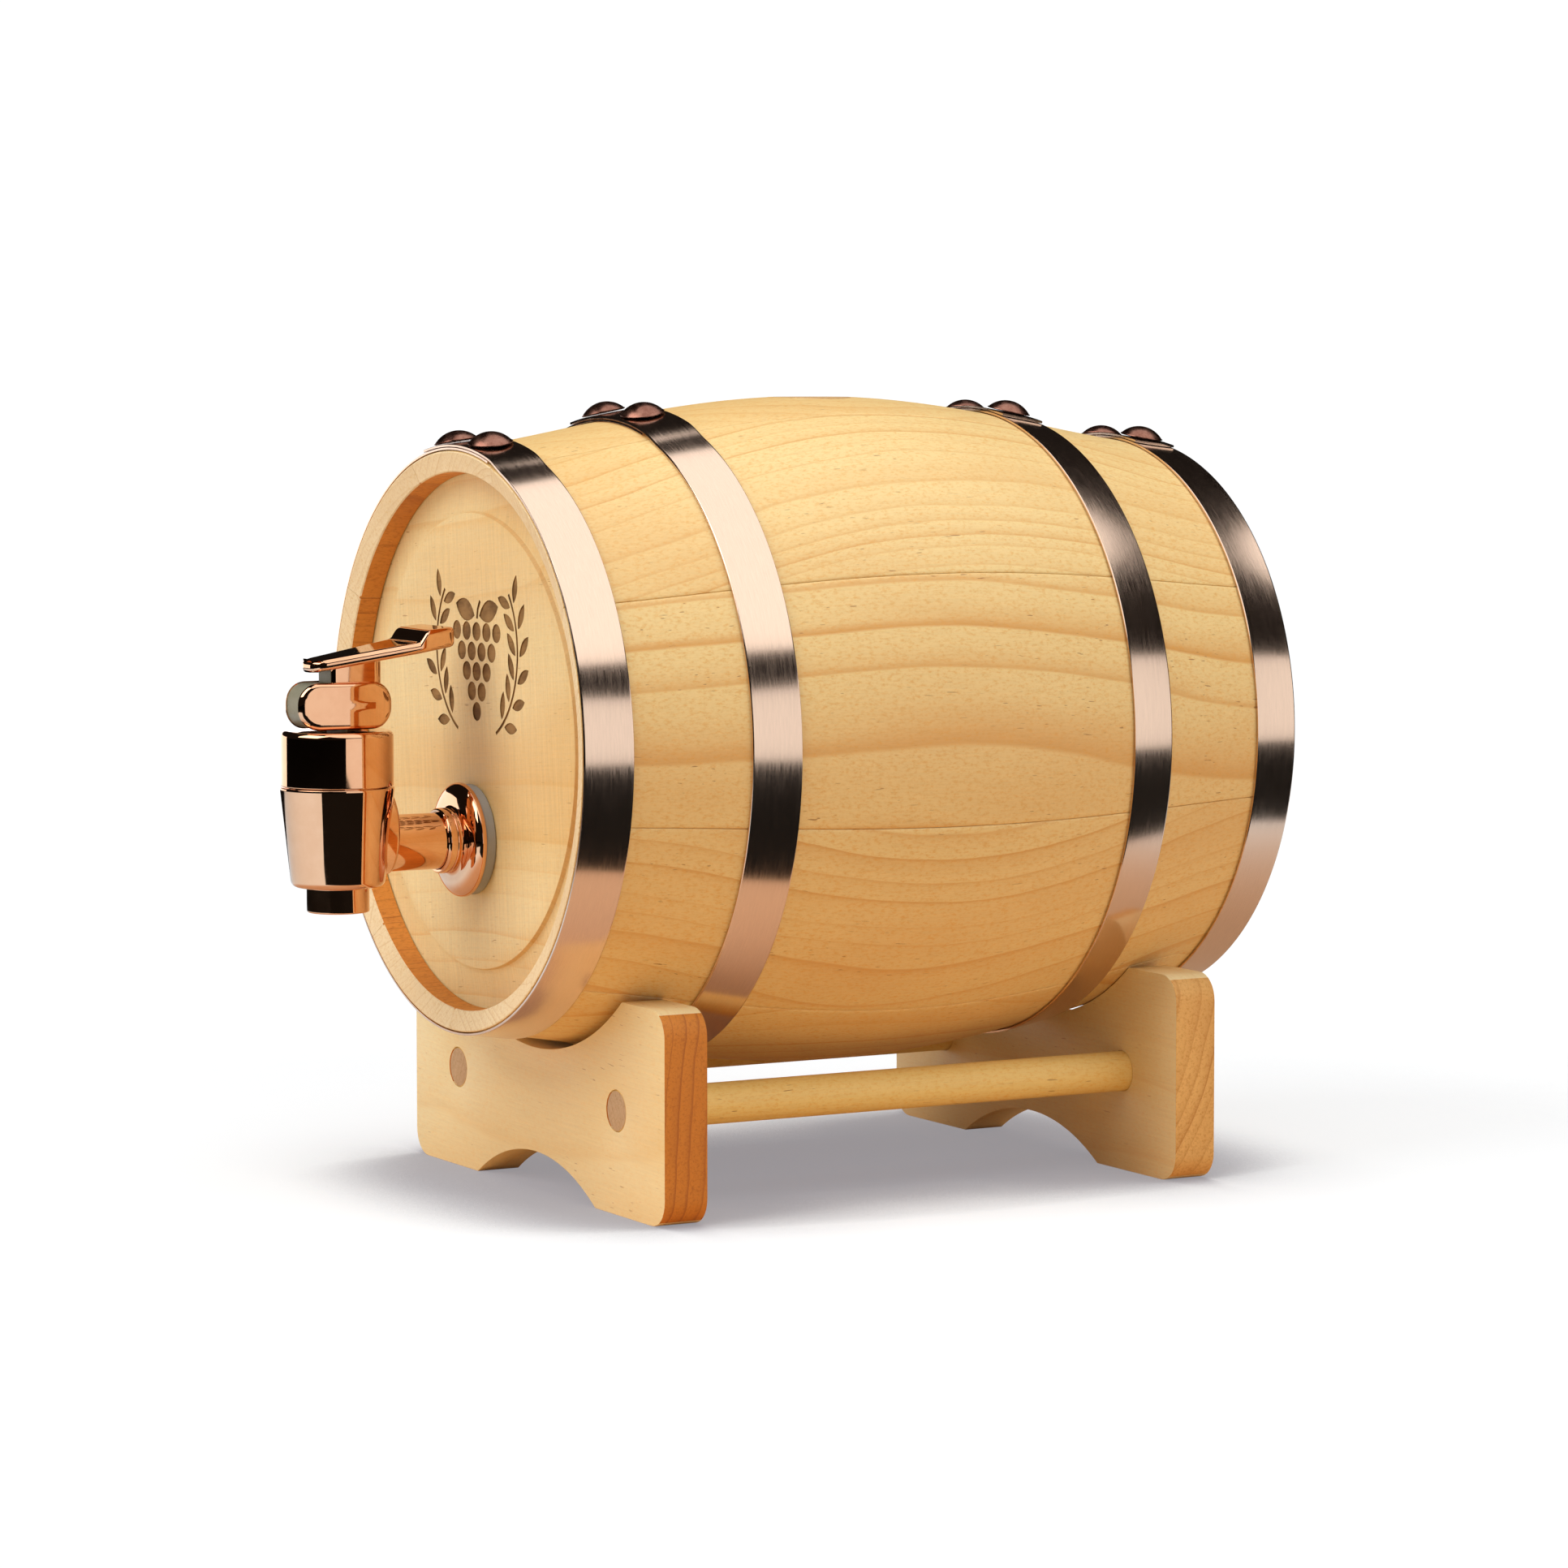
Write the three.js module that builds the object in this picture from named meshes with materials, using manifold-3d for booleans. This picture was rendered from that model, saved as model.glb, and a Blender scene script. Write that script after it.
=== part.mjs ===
// A small wooden drinks barrel lying on a two-board stand, with a lever tap low in its front head.
// Millimetres, +Z up. The barrel's axis runs along Y, its front head and the tap face -Y.
// The origin is on the floor, under the middle of the whole object.
// Inside the "onAxis" group the coordinates are measured from the middle of the barrel's axis.
import * as THREE from 'three';
import { mergeVertices } from 'three/addons/utils/BufferGeometryUtils.js';
import Module from 'manifold-3d';

const wasm = await Module();
wasm.setup();

// ---- Driving dimensions -------------------------------------------------------------------
const GAP = 0.3;                    // clearance between pieces that touch

// Barrel
const HALF_LENGTH = 118.6;          // middle of the barrel to the end of the staves
const BILGE_RADIUS = 99.7;          // outside radius of the wood at the middle
const END_RADIUS = 84.3;            // outside radius of the wood at either end
const CHIME_RADIUS = 78.2;          // inside edge of the end of the staves
const CHIME_SLOPE = 1.8;            // how far the end grain slopes back towards the inside
const WALL_RADIUS = 77.9;           // inside of the staves next to the head
const STAVE_THICKNESS_END = 7.6;
const STAVE_THICKNESS_BILGE = 9.0;
const STAVE_SEAMS = [-52, -12.8, 30, 71.6, 108.4, 150, 188, 228, 268];  // degrees from +X up to +Z

// Heads
const HEAD_FACE = 111.9;            // middle of the barrel to the raised flat field
const HEAD_BACK = 102.9;            // middle of the barrel to the inside face of the head
const FIELD_RADIUS = 66.4;          // raised flat field on the head
const FIELD_STEP = 1.1;
const TONGUE_RADIUS = 80.8;         // rim of the head inside the croze groove
const TONGUE_FRONT = 109.9;
const TONGUE_BACK = 105.5;
const CROZE_RADIUS = 81.4;          // bottom of the groove that holds the head

// Hoops and their rivets
const HOOP_THICKNESS = 0.75;
const HOOP_GAP = 0.4;
const END_HOOP = [103.9, 118.4];    // the two edges, measured from the middle of the barrel
const BILGE_HOOP = [55.3, 69.7];
const STRAP_END = 77.4;             // where the outer end of the strap stops, degrees
const STRAP_START = 106.5;          // where the covered end of the strap starts
const STRAP_RAMP = 112;             // where the outer end is back on the wood
const RIVET_ANGLES = [82.5, 97.5];
const RIVET_RADIUS = 6.6;
const RIVET_HEIGHT = 3.3;           // a shallow dome with a sharp rim

// Bung
const BUNG_HOLE_TOP = 13.0;         // radius of the tapered hole at the outside of the stave
const BUNG_HOLE_BOTTOM = 11.6;
const BUNG_TOP = 99.2;
const BUNG_BOTTOM = 89.6;

// Tap
const TAP_Y = -154.8;               // vertical axis of the valve
const SHANK_Z = -28.6;              // axis of the shank that goes through the head
const SHANK_RADIUS = 8.2;
const SHANK_END = -88;
const BODY_RADIUS = 16.4;
const BODY_BOTTOM_RADIUS = 13.6;
const BODY_TOP = -11.6;
const BODY_BOTTOM = -40.3;
const NOZZLE_RADIUS = 9.0;
const NOZZLE_END = -47.6;
const CHAMBER_RADIUS = 11.5;
const CHAMBER_FLOOR = -35;
const OUTLET_RADIUS = 5.5;
const BONNET_RADIUS = 16.2;
const BONNET_TOP = 4.7;
const STEM_RADIUS = 3.0;
const PIN_Z = 11.9;                 // lever pin, across the top of the stem
const PIN_RADIUS = 1.5;
const FLANGE_RADIUS = 16.7;
const WASHER_RADIUS = 16.0;

// Lever
const BLOCK_HALF_LENGTH = 14.5;
const BLOCK_SHIFT = 0.5;            // middle of the block, ahead of the stem's axis
const BLOCK_HALF_HEIGHT = 6.8;
const BLOCK_CORNER = 6.2;
const BLOCK_WIDTH = 13.4;
const NECK_WIDTH = 10.7;
const PADDLE_TIP_Y = -164.1;
const PADDLE_TIP_ROUND = 3.8;
const PADDLE_END_Y = -122.4;
const PADDLE_FLARE_Y = -132;        // where the paddle reaches its full width
const PADDLE_TIP_WIDTH = 12.8;
const PADDLE_WIDTH = 22.4;

// Stand
const AXIS_HEIGHT = 133;            // floor to the barrel's axis
const BOARD_INNER_FACE = 78.6;      // middle of the barrel to the near face of a board
const BOARD_THICKNESS = 13.6;
const BOARD_HALF_WIDTH = 82.4;
const BOARD_TOP = -71.5;
const BOARD_CORNER = 8;
const SADDLE_RADIUS = 90.9;
const ARCH_HALF_WIDTH = 39;
const ARCH_HEIGHT = 11.3;
const DOWEL_RADIUS = 6.0;
const DOWEL_X = 52.5;
const DOWEL_Z = -103.1;

// The whole object reaches from the front of the tap to the rear end of the staves.
const BARREL_Y = -(TAP_Y - BODY_RADIUS + HALF_LENGTH) / 2;

// ---- Materials ----------------------------------------------------------------------------
function material(color, roughness, metalness) {
  return new THREE.MeshStandardMaterial({ color, roughness, metalness });
}
const MATERIALS = {
  staveWood: material(0xe2bb78, 0.55, 0),
  headWood: material(0xe8c890, 0.55, 0),
  standWood: material(0xdcb26c, 0.55, 0),
  bungWood: material(0xc79a5c, 0.6, 0),
  hoopCopper: material(0xd9a184, 0.3, 1),
  rivetCopper: material(0x8c4a30, 0.35, 1),
  tapPlating: material(0xe3a37e, 0.06, 1),
  valvePlastic: material(0xe8e6e0, 0.4, 0),
  springSteel: material(0xb9bcc0, 0.3, 1),
  washerRubber: material(0x8d918f, 0.7, 0),
  silicone: material(0xd8d8d4, 0.6, 0),
};

// ---- Geometry helpers ---------------------------------------------------------------------
const radians = (degrees) => degrees * Math.PI / 180;

// Signed volume of an indexed mesh; it is negative when the faces point inwards.
function signedVolume(position, index) {
  const corner = (n) => new THREE.Vector3().fromBufferAttribute(position, n);
  let sum = 0;
  for (let i = 0; i < index.length; i += 3) {
    const cross = corner(index[i + 1]).cross(corner(index[i + 2]));
    sum += corner(index[i]).dot(cross) / 6;
  }
  return sum;
}

// Weld the vertices, drop empty triangles and make every face point outwards.
function closed(geometry) {
  const bare = geometry.clone();
  bare.deleteAttribute('normal');
  bare.deleteAttribute('uv');
  const welded = mergeVertices(bare);
  const source = welded.index.array;
  const index = [];
  for (let i = 0; i < source.length; i += 3) {
    const [a, b, c] = [source[i], source[i + 1], source[i + 2]];
    if (a !== b && b !== c && c !== a) index.push(a, b, c);
  }
  if (signedVolume(welded.attributes.position, index) < 0) index.reverse();
  welded.setIndex(index);
  return welded;
}

function toSolid(geometry) {
  const mesh = closed(geometry);
  return new wasm.Manifold(new wasm.Mesh({
    numProp: 3,
    vertProperties: new Float32Array(mesh.attributes.position.array),
    triVerts: new Uint32Array(mesh.index.array),
  }));
}

function fromSolid(solid) {
  const mesh = solid.getMesh();
  const geometry = new THREE.BufferGeometry();
  geometry.setAttribute('position', new THREE.BufferAttribute(new Float32Array(mesh.vertProperties), 3));
  geometry.setIndex(new THREE.BufferAttribute(new Uint32Array(mesh.triVerts), 1));
  return geometry;
}

// Join the first list of geometries and cut the second list out of them.
function shape(joined, cuts = []) {
  let solid = toSolid(joined[0]);
  for (const piece of joined.slice(1)) solid = solid.add(toSolid(piece));
  for (const piece of cuts) solid = solid.subtract(toSolid(piece));
  return fromSolid(solid);
}

// A body turned about Y from [radius, y] points. The outline closes on itself.
function turnedY(outline, segments) {
  const points = outline.map(([radius, y]) => new THREE.Vector2(radius, y));
  points.push(points[0].clone());
  return closed(new THREE.LatheGeometry(points, segments));
}

// The same about Z, from [radius, z] points.
function turnedZ(outline, segments) {
  return turnedY(outline, segments).rotateX(Math.PI / 2);
}

function rodY(radius, from, to, x, z, segments = 20) {
  return new THREE.CylinderGeometry(radius, radius, to - from, segments).translate(x, (from + to) / 2, z);
}

function rodZ(radius, from, to, segments = 20) {
  return new THREE.CylinderGeometry(radius, radius, to - from, segments)
    .rotateX(Math.PI / 2)
    .translate(0, 0, (from + to) / 2);
}

function rodX(radius, halfLength, y, z, segments = 14) {
  return new THREE.CylinderGeometry(radius, radius, 2 * halfLength, segments)
    .rotateZ(Math.PI / 2)
    .translate(0, y, z);
}

// A flat outline of [y, z] points, extruded evenly to both sides along X.
function slabX(outline, width) {
  const flat = new THREE.Shape(outline.map(([y, z]) => new THREE.Vector2(y, z)));
  return new THREE.ExtrudeGeometry(flat, { depth: width, bevelEnabled: false })
    .translate(0, 0, -width / 2)
    .rotateY(Math.PI / 2)
    .rotateX(Math.PI / 2);
}

// Carry a section of [radius, y] points round the Y axis, over the given angles in degrees.
// sectionAt gives the section at an angle. A full ring joins its last angle to its first.
function sweepRound(angles, sectionAt, fullRing) {
  const positions = [];
  for (const angle of angles) {
    for (const [radius, y] of sectionAt(angle)) {
      positions.push(radius * Math.cos(radians(angle)), y, radius * Math.sin(radians(angle)));
    }
  }
  const first = sectionAt(angles[0]);
  const count = first.length;
  const index = [];
  const spans = fullRing ? angles.length : angles.length - 1;
  for (let i = 0; i < spans; i++) {
    const here = i * count;
    const next = ((i + 1) % angles.length) * count;
    for (let k = 0; k < count; k++) {
      const l = (k + 1) % count;
      index.push(here + k, next + k, next + l);
      index.push(here + k, next + l, here + l);
    }
  }
  if (!fullRing) {
    const contour = first.map(([radius, y]) => new THREE.Vector2(radius, y));
    const caps = THREE.ShapeUtils.triangulateShape(contour, []);
    const last = (angles.length - 1) * count;
    const clockwise = THREE.ShapeUtils.isClockWise(contour);
    for (const [a, b, c] of caps) {
      const [p, q] = clockwise ? [c, b] : [b, c];
      index.push(a, p, q);
      index.push(last + a, last + q, last + p);
    }
  }
  const geometry = new THREE.BufferGeometry();
  geometry.setAttribute('position', new THREE.Float32BufferAttribute(positions, 3));
  geometry.setIndex(index);
  return closed(geometry);
}

// ---- The scene ----------------------------------------------------------------------------
const model = new THREE.Group();
const onAxis = new THREE.Group();
onAxis.position.set(0, BARREL_Y, AXIS_HEIGHT);
model.add(onAxis);

function add(name, geometry, look, parent = onAxis) {
  const mesh = new THREE.Mesh(geometry, look);
  mesh.name = name;
  parent.add(mesh);
  return mesh;
}

// ---- Barrel wood --------------------------------------------------------------------------
// Outside radius of the staves at a distance y from the middle: steepest near the bilge hoops.
function woodRadius(y) {
  const t = (y / HALF_LENGTH) ** 2;
  return BILGE_RADIUS - (BILGE_RADIUS - END_RADIUS) * (1.616 * t - 0.616 * t * t);
}

function innerRadius(y) {
  const t = Math.abs(y) / HALF_LENGTH;
  return woodRadius(y) - THREE.MathUtils.lerp(STAVE_THICKNESS_BILGE, STAVE_THICKNESS_END, t);
}

// Section of a stave from the front end to the rear and back along the inside,
// with the croze groove near each end.
function staveSection() {
  const outside = [];
  const spans = 10;
  for (let i = 0; i <= spans; i++) {
    const y = HALF_LENGTH * (2 * i / spans - 1);
    outside.push([woodRadius(y), y]);
  }
  const rearEnd = [
    [CHIME_RADIUS, HALF_LENGTH - CHIME_SLOPE],
    [WALL_RADIUS, TONGUE_FRONT + GAP],
    [CROZE_RADIUS, TONGUE_FRONT + GAP],
    [CROZE_RADIUS, TONGUE_BACK - GAP],
    [WALL_RADIUS, TONGUE_BACK - GAP],
    [innerRadius(80), 80],
    [innerRadius(40), 40],
  ];
  const frontEnd = rearEnd.map(([radius, y]) => [radius, -y]).reverse();
  return [...outside, ...rearEnd, [innerRadius(0), 0], ...frontEnd];
}

function stave(fromDegrees, toDegrees) {
  const halfGap = 0.5 * GAP / radians(1) / END_RADIUS;
  const steps = 6;
  const angles = [];
  for (let i = 0; i <= steps; i++) {
    angles.push(THREE.MathUtils.lerp(fromDegrees + halfGap, toDegrees - halfGap, i / steps));
  }
  return sweepRound(angles, staveSection, false);
}

function bungCone(top, bottom, from, to) {
  return new THREE.CylinderGeometry(top, bottom, to - from, 24)
    .rotateX(Math.PI / 2)
    .translate(0, 0, (from + to) / 2);
}

function addStaves() {
  let number = 1;
  STAVE_SEAMS.forEach((seam, i) => {
    const next = STAVE_SEAMS[i + 1] ?? STAVE_SEAMS[0] + 360;
    const wood = stave(seam, next);
    if (seam < 90 && next > 90) {
      const hole = bungCone(BUNG_HOLE_TOP + 0.7, BUNG_HOLE_BOTTOM - 0.7, 84, 106);
      add('bung_stave', shape([wood], [hole]), MATERIALS.staveWood);
      return;
    }
    add(`stave_${number}`, wood, MATERIALS.staveWood);
    number += 1;
  });
}

// One head, facing -Y: raised field, small step, hollow cove, and a thin rim for the groove.
function headBlank() {
  return turnedY([
    [0, -HEAD_FACE],
    [FIELD_RADIUS, -HEAD_FACE],
    [FIELD_RADIUS + 0.4, -HEAD_FACE + FIELD_STEP],
    [70.2, -110.0],
    [74.0, -109.7],
    [WALL_RADIUS - GAP, -TONGUE_FRONT],
    [TONGUE_RADIUS, -TONGUE_FRONT],
    [TONGUE_RADIUS, -TONGUE_BACK],
    [76.5, -TONGUE_BACK],
    [72, -HEAD_BACK],
    [0, -HEAD_BACK],
  ], 40);
}

function addHeads() {
  const tapHole = rodY(SHANK_RADIUS + 0.4, -115, -99, 0, SHANK_Z, 24);
  add('front_head', shape([headBlank()], [tapHole]), MATERIALS.headWood);
  add('rear_head', closed(headBlank().rotateZ(Math.PI)), MATERIALS.headWood);
}

function addBung() {
  const bung = bungCone(BUNG_HOLE_TOP - GAP, BUNG_HOLE_BOTTOM - GAP, BUNG_BOTTOM, BUNG_TOP);
  add('bung', closed(bung), MATERIALS.bungWood);
}

// ---- Hoops and rivets ---------------------------------------------------------------------
// How many extra strap thicknesses lie on top of the hoop at this angle.
function overlapAt(angle) {
  if (angle < STRAP_END || angle > STRAP_RAMP) return 0;
  if (angle <= STRAP_START) return 1;
  return (STRAP_RAMP - angle) / (STRAP_RAMP - STRAP_START);
}

function hoop(nearEdge, farEdge) {
  const angles = [STRAP_END - 0.15, STRAP_END + 0.15, STRAP_START, STRAP_RAMP];
  for (let angle = 0; angle < 360; angle += 7.5) angles.push(angle + 3);
  angles.sort((a, b) => a - b);
  const sectionAt = (angle) => {
    const build = HOOP_THICKNESS * (1 + overlapAt(angle));
    return [
      [woodRadius(nearEdge) + HOOP_GAP, nearEdge],
      [woodRadius(nearEdge) + HOOP_GAP + build, nearEdge],
      [woodRadius(farEdge) + HOOP_GAP + build, farEdge],
      [woodRadius(farEdge) + HOOP_GAP, farEdge],
    ];
  };
  return sweepRound(angles, sectionAt, true);
}

// A round-headed rivet, built upright on Z, leaned square to the sloping strap, then carried
// out to the strap and round to its angle.
function rivet(nearEdge, farEdge, angle) {
  const ball = (RIVET_RADIUS ** 2 + RIVET_HEIGHT ** 2) / (2 * RIVET_HEIGHT);
  const rim = Math.asin(RIVET_RADIUS / ball);
  const outline = [[0, 0]];
  for (const part of [1, 0.68, 0.36, 0]) {
    outline.push([ball * Math.sin(rim * part), ball * Math.cos(rim * part) - ball + RIVET_HEIGHT]);
  }
  const rise = (woodRadius(farEdge) - woodRadius(nearEdge)) / (farEdge - nearEdge);
  const middle = (woodRadius(nearEdge) + woodRadius(farEdge)) / 2;
  const base = middle + HOOP_GAP + 2 * HOOP_THICKNESS + 0.3;
  return closed(turnedZ(outline, 14)
    .rotateX(Math.atan(rise))
    .translate(0, (nearEdge + farEdge) / 2, base)
    .rotateY(radians(90 - angle)));
}

function addHoops() {
  const hoops = [
    [-END_HOOP[1], -END_HOOP[0]],
    [-BILGE_HOOP[1], -BILGE_HOOP[0]],
    [BILGE_HOOP[0], BILGE_HOOP[1]],
    [END_HOOP[0], END_HOOP[1]],
  ];
  hoops.forEach(([nearEdge, farEdge], i) => {
    add(`hoop_${i + 1}`, hoop(nearEdge, farEdge), MATERIALS.hoopCopper);
    RIVET_ANGLES.forEach((angle, side) => {
      const name = `rivet_${i + 1}_${side === 0 ? 'right' : 'left'}`;
      add(name, rivet(nearEdge, farEdge, angle), MATERIALS.rivetCopper);
    });
  });
}

// ---- Tap ----------------------------------------------------------------------------------
const valve = new THREE.Group();    // coordinates on the valve's own vertical axis
valve.position.set(0, TAP_Y, 0);
onAxis.add(valve);

// Tapered cup, nozzle, pad behind the cup and the long shank, hollow right through.
function tapBody() {
  const shankLength = SHANK_END - TAP_Y;
  const cup = turnedZ([
    [0, BODY_BOTTOM], [11.8, BODY_BOTTOM], [13.2, -39.6], [BODY_BOTTOM_RADIUS, -38.2],
    [BODY_RADIUS, -12.6], [BODY_RADIUS, BODY_TOP], [13.6, BODY_TOP], [13.6, -4], [0, -4],
  ], 28);
  const nozzle = rodZ(NOZZLE_RADIUS, NOZZLE_END, BODY_BOTTOM + 2, 24);
  const pad = rodY(9.5, 0, 15.8, 0, 0, 20).scale(1, 1, 1.33).translate(0, 0, -25);
  const shank = rodY(SHANK_RADIUS, 0, shankLength, 0, SHANK_Z, 24);
  const chamber = rodZ(CHAMBER_RADIUS, CHAMBER_FLOOR, 0, 24);
  const outlet = rodZ(OUTLET_RADIUS, NOZZLE_END - 2, CHAMBER_FLOOR + 2, 20);
  const spout = rodZ(6.8, NOZZLE_END - 2, -38, 20);
  const shankBore = rodY(5, 0, shankLength + 2, 0, SHANK_Z, 18);
  return shape([cup, nozzle, pad, shank], [chamber, outlet, spout, shankBore]);
}

function bonnet() {
  return turnedZ([
    [14.0, -11.3], [BONNET_RADIUS, -11.3], [BONNET_RADIUS, 3.6], [15.3, BONNET_TOP],
    [3.4, BONNET_TOP], [3.4, 1.2], [14.0, 1.2],
  ], 28);
}

// Rod with a shoulder for the spring and a cross hole for the lever pin.
function stem() {
  const rod = turnedZ([
    [0, -27.5], [STEM_RADIUS, -27.5], [STEM_RADIUS, -14.8], [8, -14.8], [8, -13.2],
    [STEM_RADIUS, -13.2], [STEM_RADIUS, 14.6], [2, 15.2], [0, 15.2],
  ], 16);
  return shape([rod], [rodX(PIN_RADIUS + 0.2, 8, 0, PIN_Z)]);
}

// Silicone seat: a rounded plug over the outlet, a thin waist and a wiping rim.
function seatPlug() {
  return turnedZ([
    [0, -34.6], [4, -34.6], [6.4, -33.7], [7, -32], [7, -29.5], [5.2, -27.8], [5.2, -19.5],
    [11.1, -17.2], [11.1, -15.4], [3.4, -15.4], [3.4, -27.9], [0, -27.9],
  ], 20);
}

function returnSpring() {
  const turns = 3.5;
  const coilRadius = 6.2;
  const wire = 0.7;
  const [bottom, top] = [-12.0, 0.1];
  class Helix extends THREE.Curve {
    getPoint(t, target = new THREE.Vector3()) {
      const angle = t * turns * 2 * Math.PI;
      const height = THREE.MathUtils.lerp(bottom, top, t);
      return target.set(coilRadius * Math.cos(angle), coilRadius * Math.sin(angle), height);
    }
  }
  const section = new THREE.Shape();
  for (let i = 0; i < 5; i++) {
    const angle = i * 2 * Math.PI / 5;
    const point = [wire * Math.cos(angle), wire * Math.sin(angle)];
    if (i === 0) section.moveTo(...point);
    else section.lineTo(...point);
  }
  section.closePath();
  const options = { steps: 38, bevelEnabled: false, extrudePath: new Helix() };
  return closed(new THREE.ExtrudeGeometry(section, options));
}

// The lever stands on a rounded block that rocks on the bonnet, with a flared paddle above it.
function roundedBlock() {
  const outline = [];
  const insetY = BLOCK_HALF_LENGTH - BLOCK_CORNER;
  const insetZ = BLOCK_HALF_HEIGHT - BLOCK_CORNER;
  for (const quarter of [0, 1, 2, 3]) {
    const side = quarter === 0 || quarter === 3 ? 1 : -1;
    const level = quarter < 2 ? 1 : -1;
    for (const part of [0, 0.25, 0.5, 0.75, 1]) {
      const angle = (quarter + part) * Math.PI / 2;
      const y = BLOCK_SHIFT + side * insetY + BLOCK_CORNER * Math.cos(angle);
      outline.push([y, PIN_Z + level * insetZ + BLOCK_CORNER * Math.sin(angle)]);
    }
  }
  return slabX(outline, BLOCK_WIDTH);
}

function paddle() {
  const tip = PADDLE_TIP_Y - TAP_Y;
  const end = PADDLE_END_Y - TAP_Y;
  const side = [
    [tip, 22.2], [tip + 1.4, 21.7], [end - 1, 28.2], [end, 29.2], [end, 33.0], [end - 1.4, 34.2],
    [end - 8, 33.8], [end - 9.4, 32.6], [end - 11, 29.9], [tip + 1.6, 25.1], [tip, 24.5],
  ];
  const slab = toSolid(slabX(side, PADDLE_WIDTH + 4));
  const flare = PADDLE_FLARE_Y - TAP_Y;
  const [narrow, wide] = [PADDLE_TIP_WIDTH / 2, PADDLE_WIDTH / 2];
  const half = [0, 30, 60, 90].map((turn) => [
    narrow - PADDLE_TIP_ROUND * (1 - Math.sin(radians(turn))),
    tip - 0.1 + PADDLE_TIP_ROUND * (1 - Math.cos(radians(turn))),
  ]);
  half.push(
    [wide, flare], [wide, end - 2.4], [wide - 0.8, end - 0.7], [wide - 2.6, end + 0.1],
  );
  const plan = new THREE.Shape();
  half.forEach(([x, y], i) => (i === 0 ? plan.moveTo(x, y) : plan.lineTo(x, y)));
  half.slice().reverse().forEach(([x, y]) => plan.lineTo(-x, y));
  plan.closePath();
  const column = new THREE.ExtrudeGeometry(plan, { depth: 40, bevelEnabled: false });
  return slab.intersect(toSolid(column));
}

function lever() {
  const neck = new THREE.BoxGeometry(NECK_WIDTH, 16, 8).translate(0, 4.4, 20.8);
  const upper = paddle().add(toSolid(neck)).add(toSolid(roundedBlock()));
  const pocket = [[-4.2, PIN_Z - 10], [-4.2, PIN_Z + 1.5], [-2.6, PIN_Z + 4.2], [2.6, PIN_Z + 4.2],
    [4.6, PIN_Z + 1.5], [4.8, PIN_Z - 1], [8.6, PIN_Z - 10]];
  return fromSolid(upper
    .subtract(toSolid(slabX(pocket, 2 * (STEM_RADIUS + 0.4))))
    .subtract(toSolid(rodX(PIN_RADIUS + 0.2, 4.5, 0, PIN_Z))));
}

// Domed escutcheon on the shank, with a narrow neck ring in front.
function tapFlange() {
  return turnedY([
    [8.5, -115.3], [8.5, -123.4], [9.2, -123.4], [9.5, -123.0], [9.5, -119.6], [12.4, -118.9],
    [15.0, -117.8], [16.4, -116.7], [FLANGE_RADIUS, -116.1], [FLANGE_RADIUS, -115.3],
  ], 28);
}

function ringY(inner, outer, from, to, segments = 24) {
  return turnedY([[inner, from], [outer, from], [outer, to], [inner, to]], segments);
}

function addTap() {
  add('tap_body', tapBody(), MATERIALS.tapPlating, valve);
  add('tap_bonnet', bonnet(), MATERIALS.tapPlating, valve);
  add('valve_stem', stem(), MATERIALS.valvePlastic, valve);
  add('seat_plug', seatPlug(), MATERIALS.silicone, valve);
  add('return_spring', returnSpring(), MATERIALS.springSteel, valve);
  add('lever', lever(), MATERIALS.tapPlating, valve);
  add('lever_pin', closed(rodX(PIN_RADIUS, 4.3, 0, PIN_Z)), MATERIALS.springSteel, valve);

  const onShank = new THREE.Group();  // coordinates on the shank's axis
  onShank.position.set(0, 0, SHANK_Z);
  onAxis.add(onShank);
  add('tap_flange', tapFlange(), MATERIALS.tapPlating, onShank);
  add('outer_washer', ringY(8.6, WASHER_RADIUS, -115.0, -112.2), MATERIALS.washerRubber, onShank);
  add('inner_washer', ringY(8.6, 15.5, -102.6, -100.2), MATERIALS.washerRubber, onShank);
  const nut = new THREE.CylinderGeometry(13.9, 13.9, 7, 6).translate(0, -96.4, 0);
  const nutHole = rodY(8.5, -102, -90, 0, 0, 24);
  add('lock_nut', shape([nut], [nutHole]), MATERIALS.valvePlastic, onShank);
}

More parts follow.
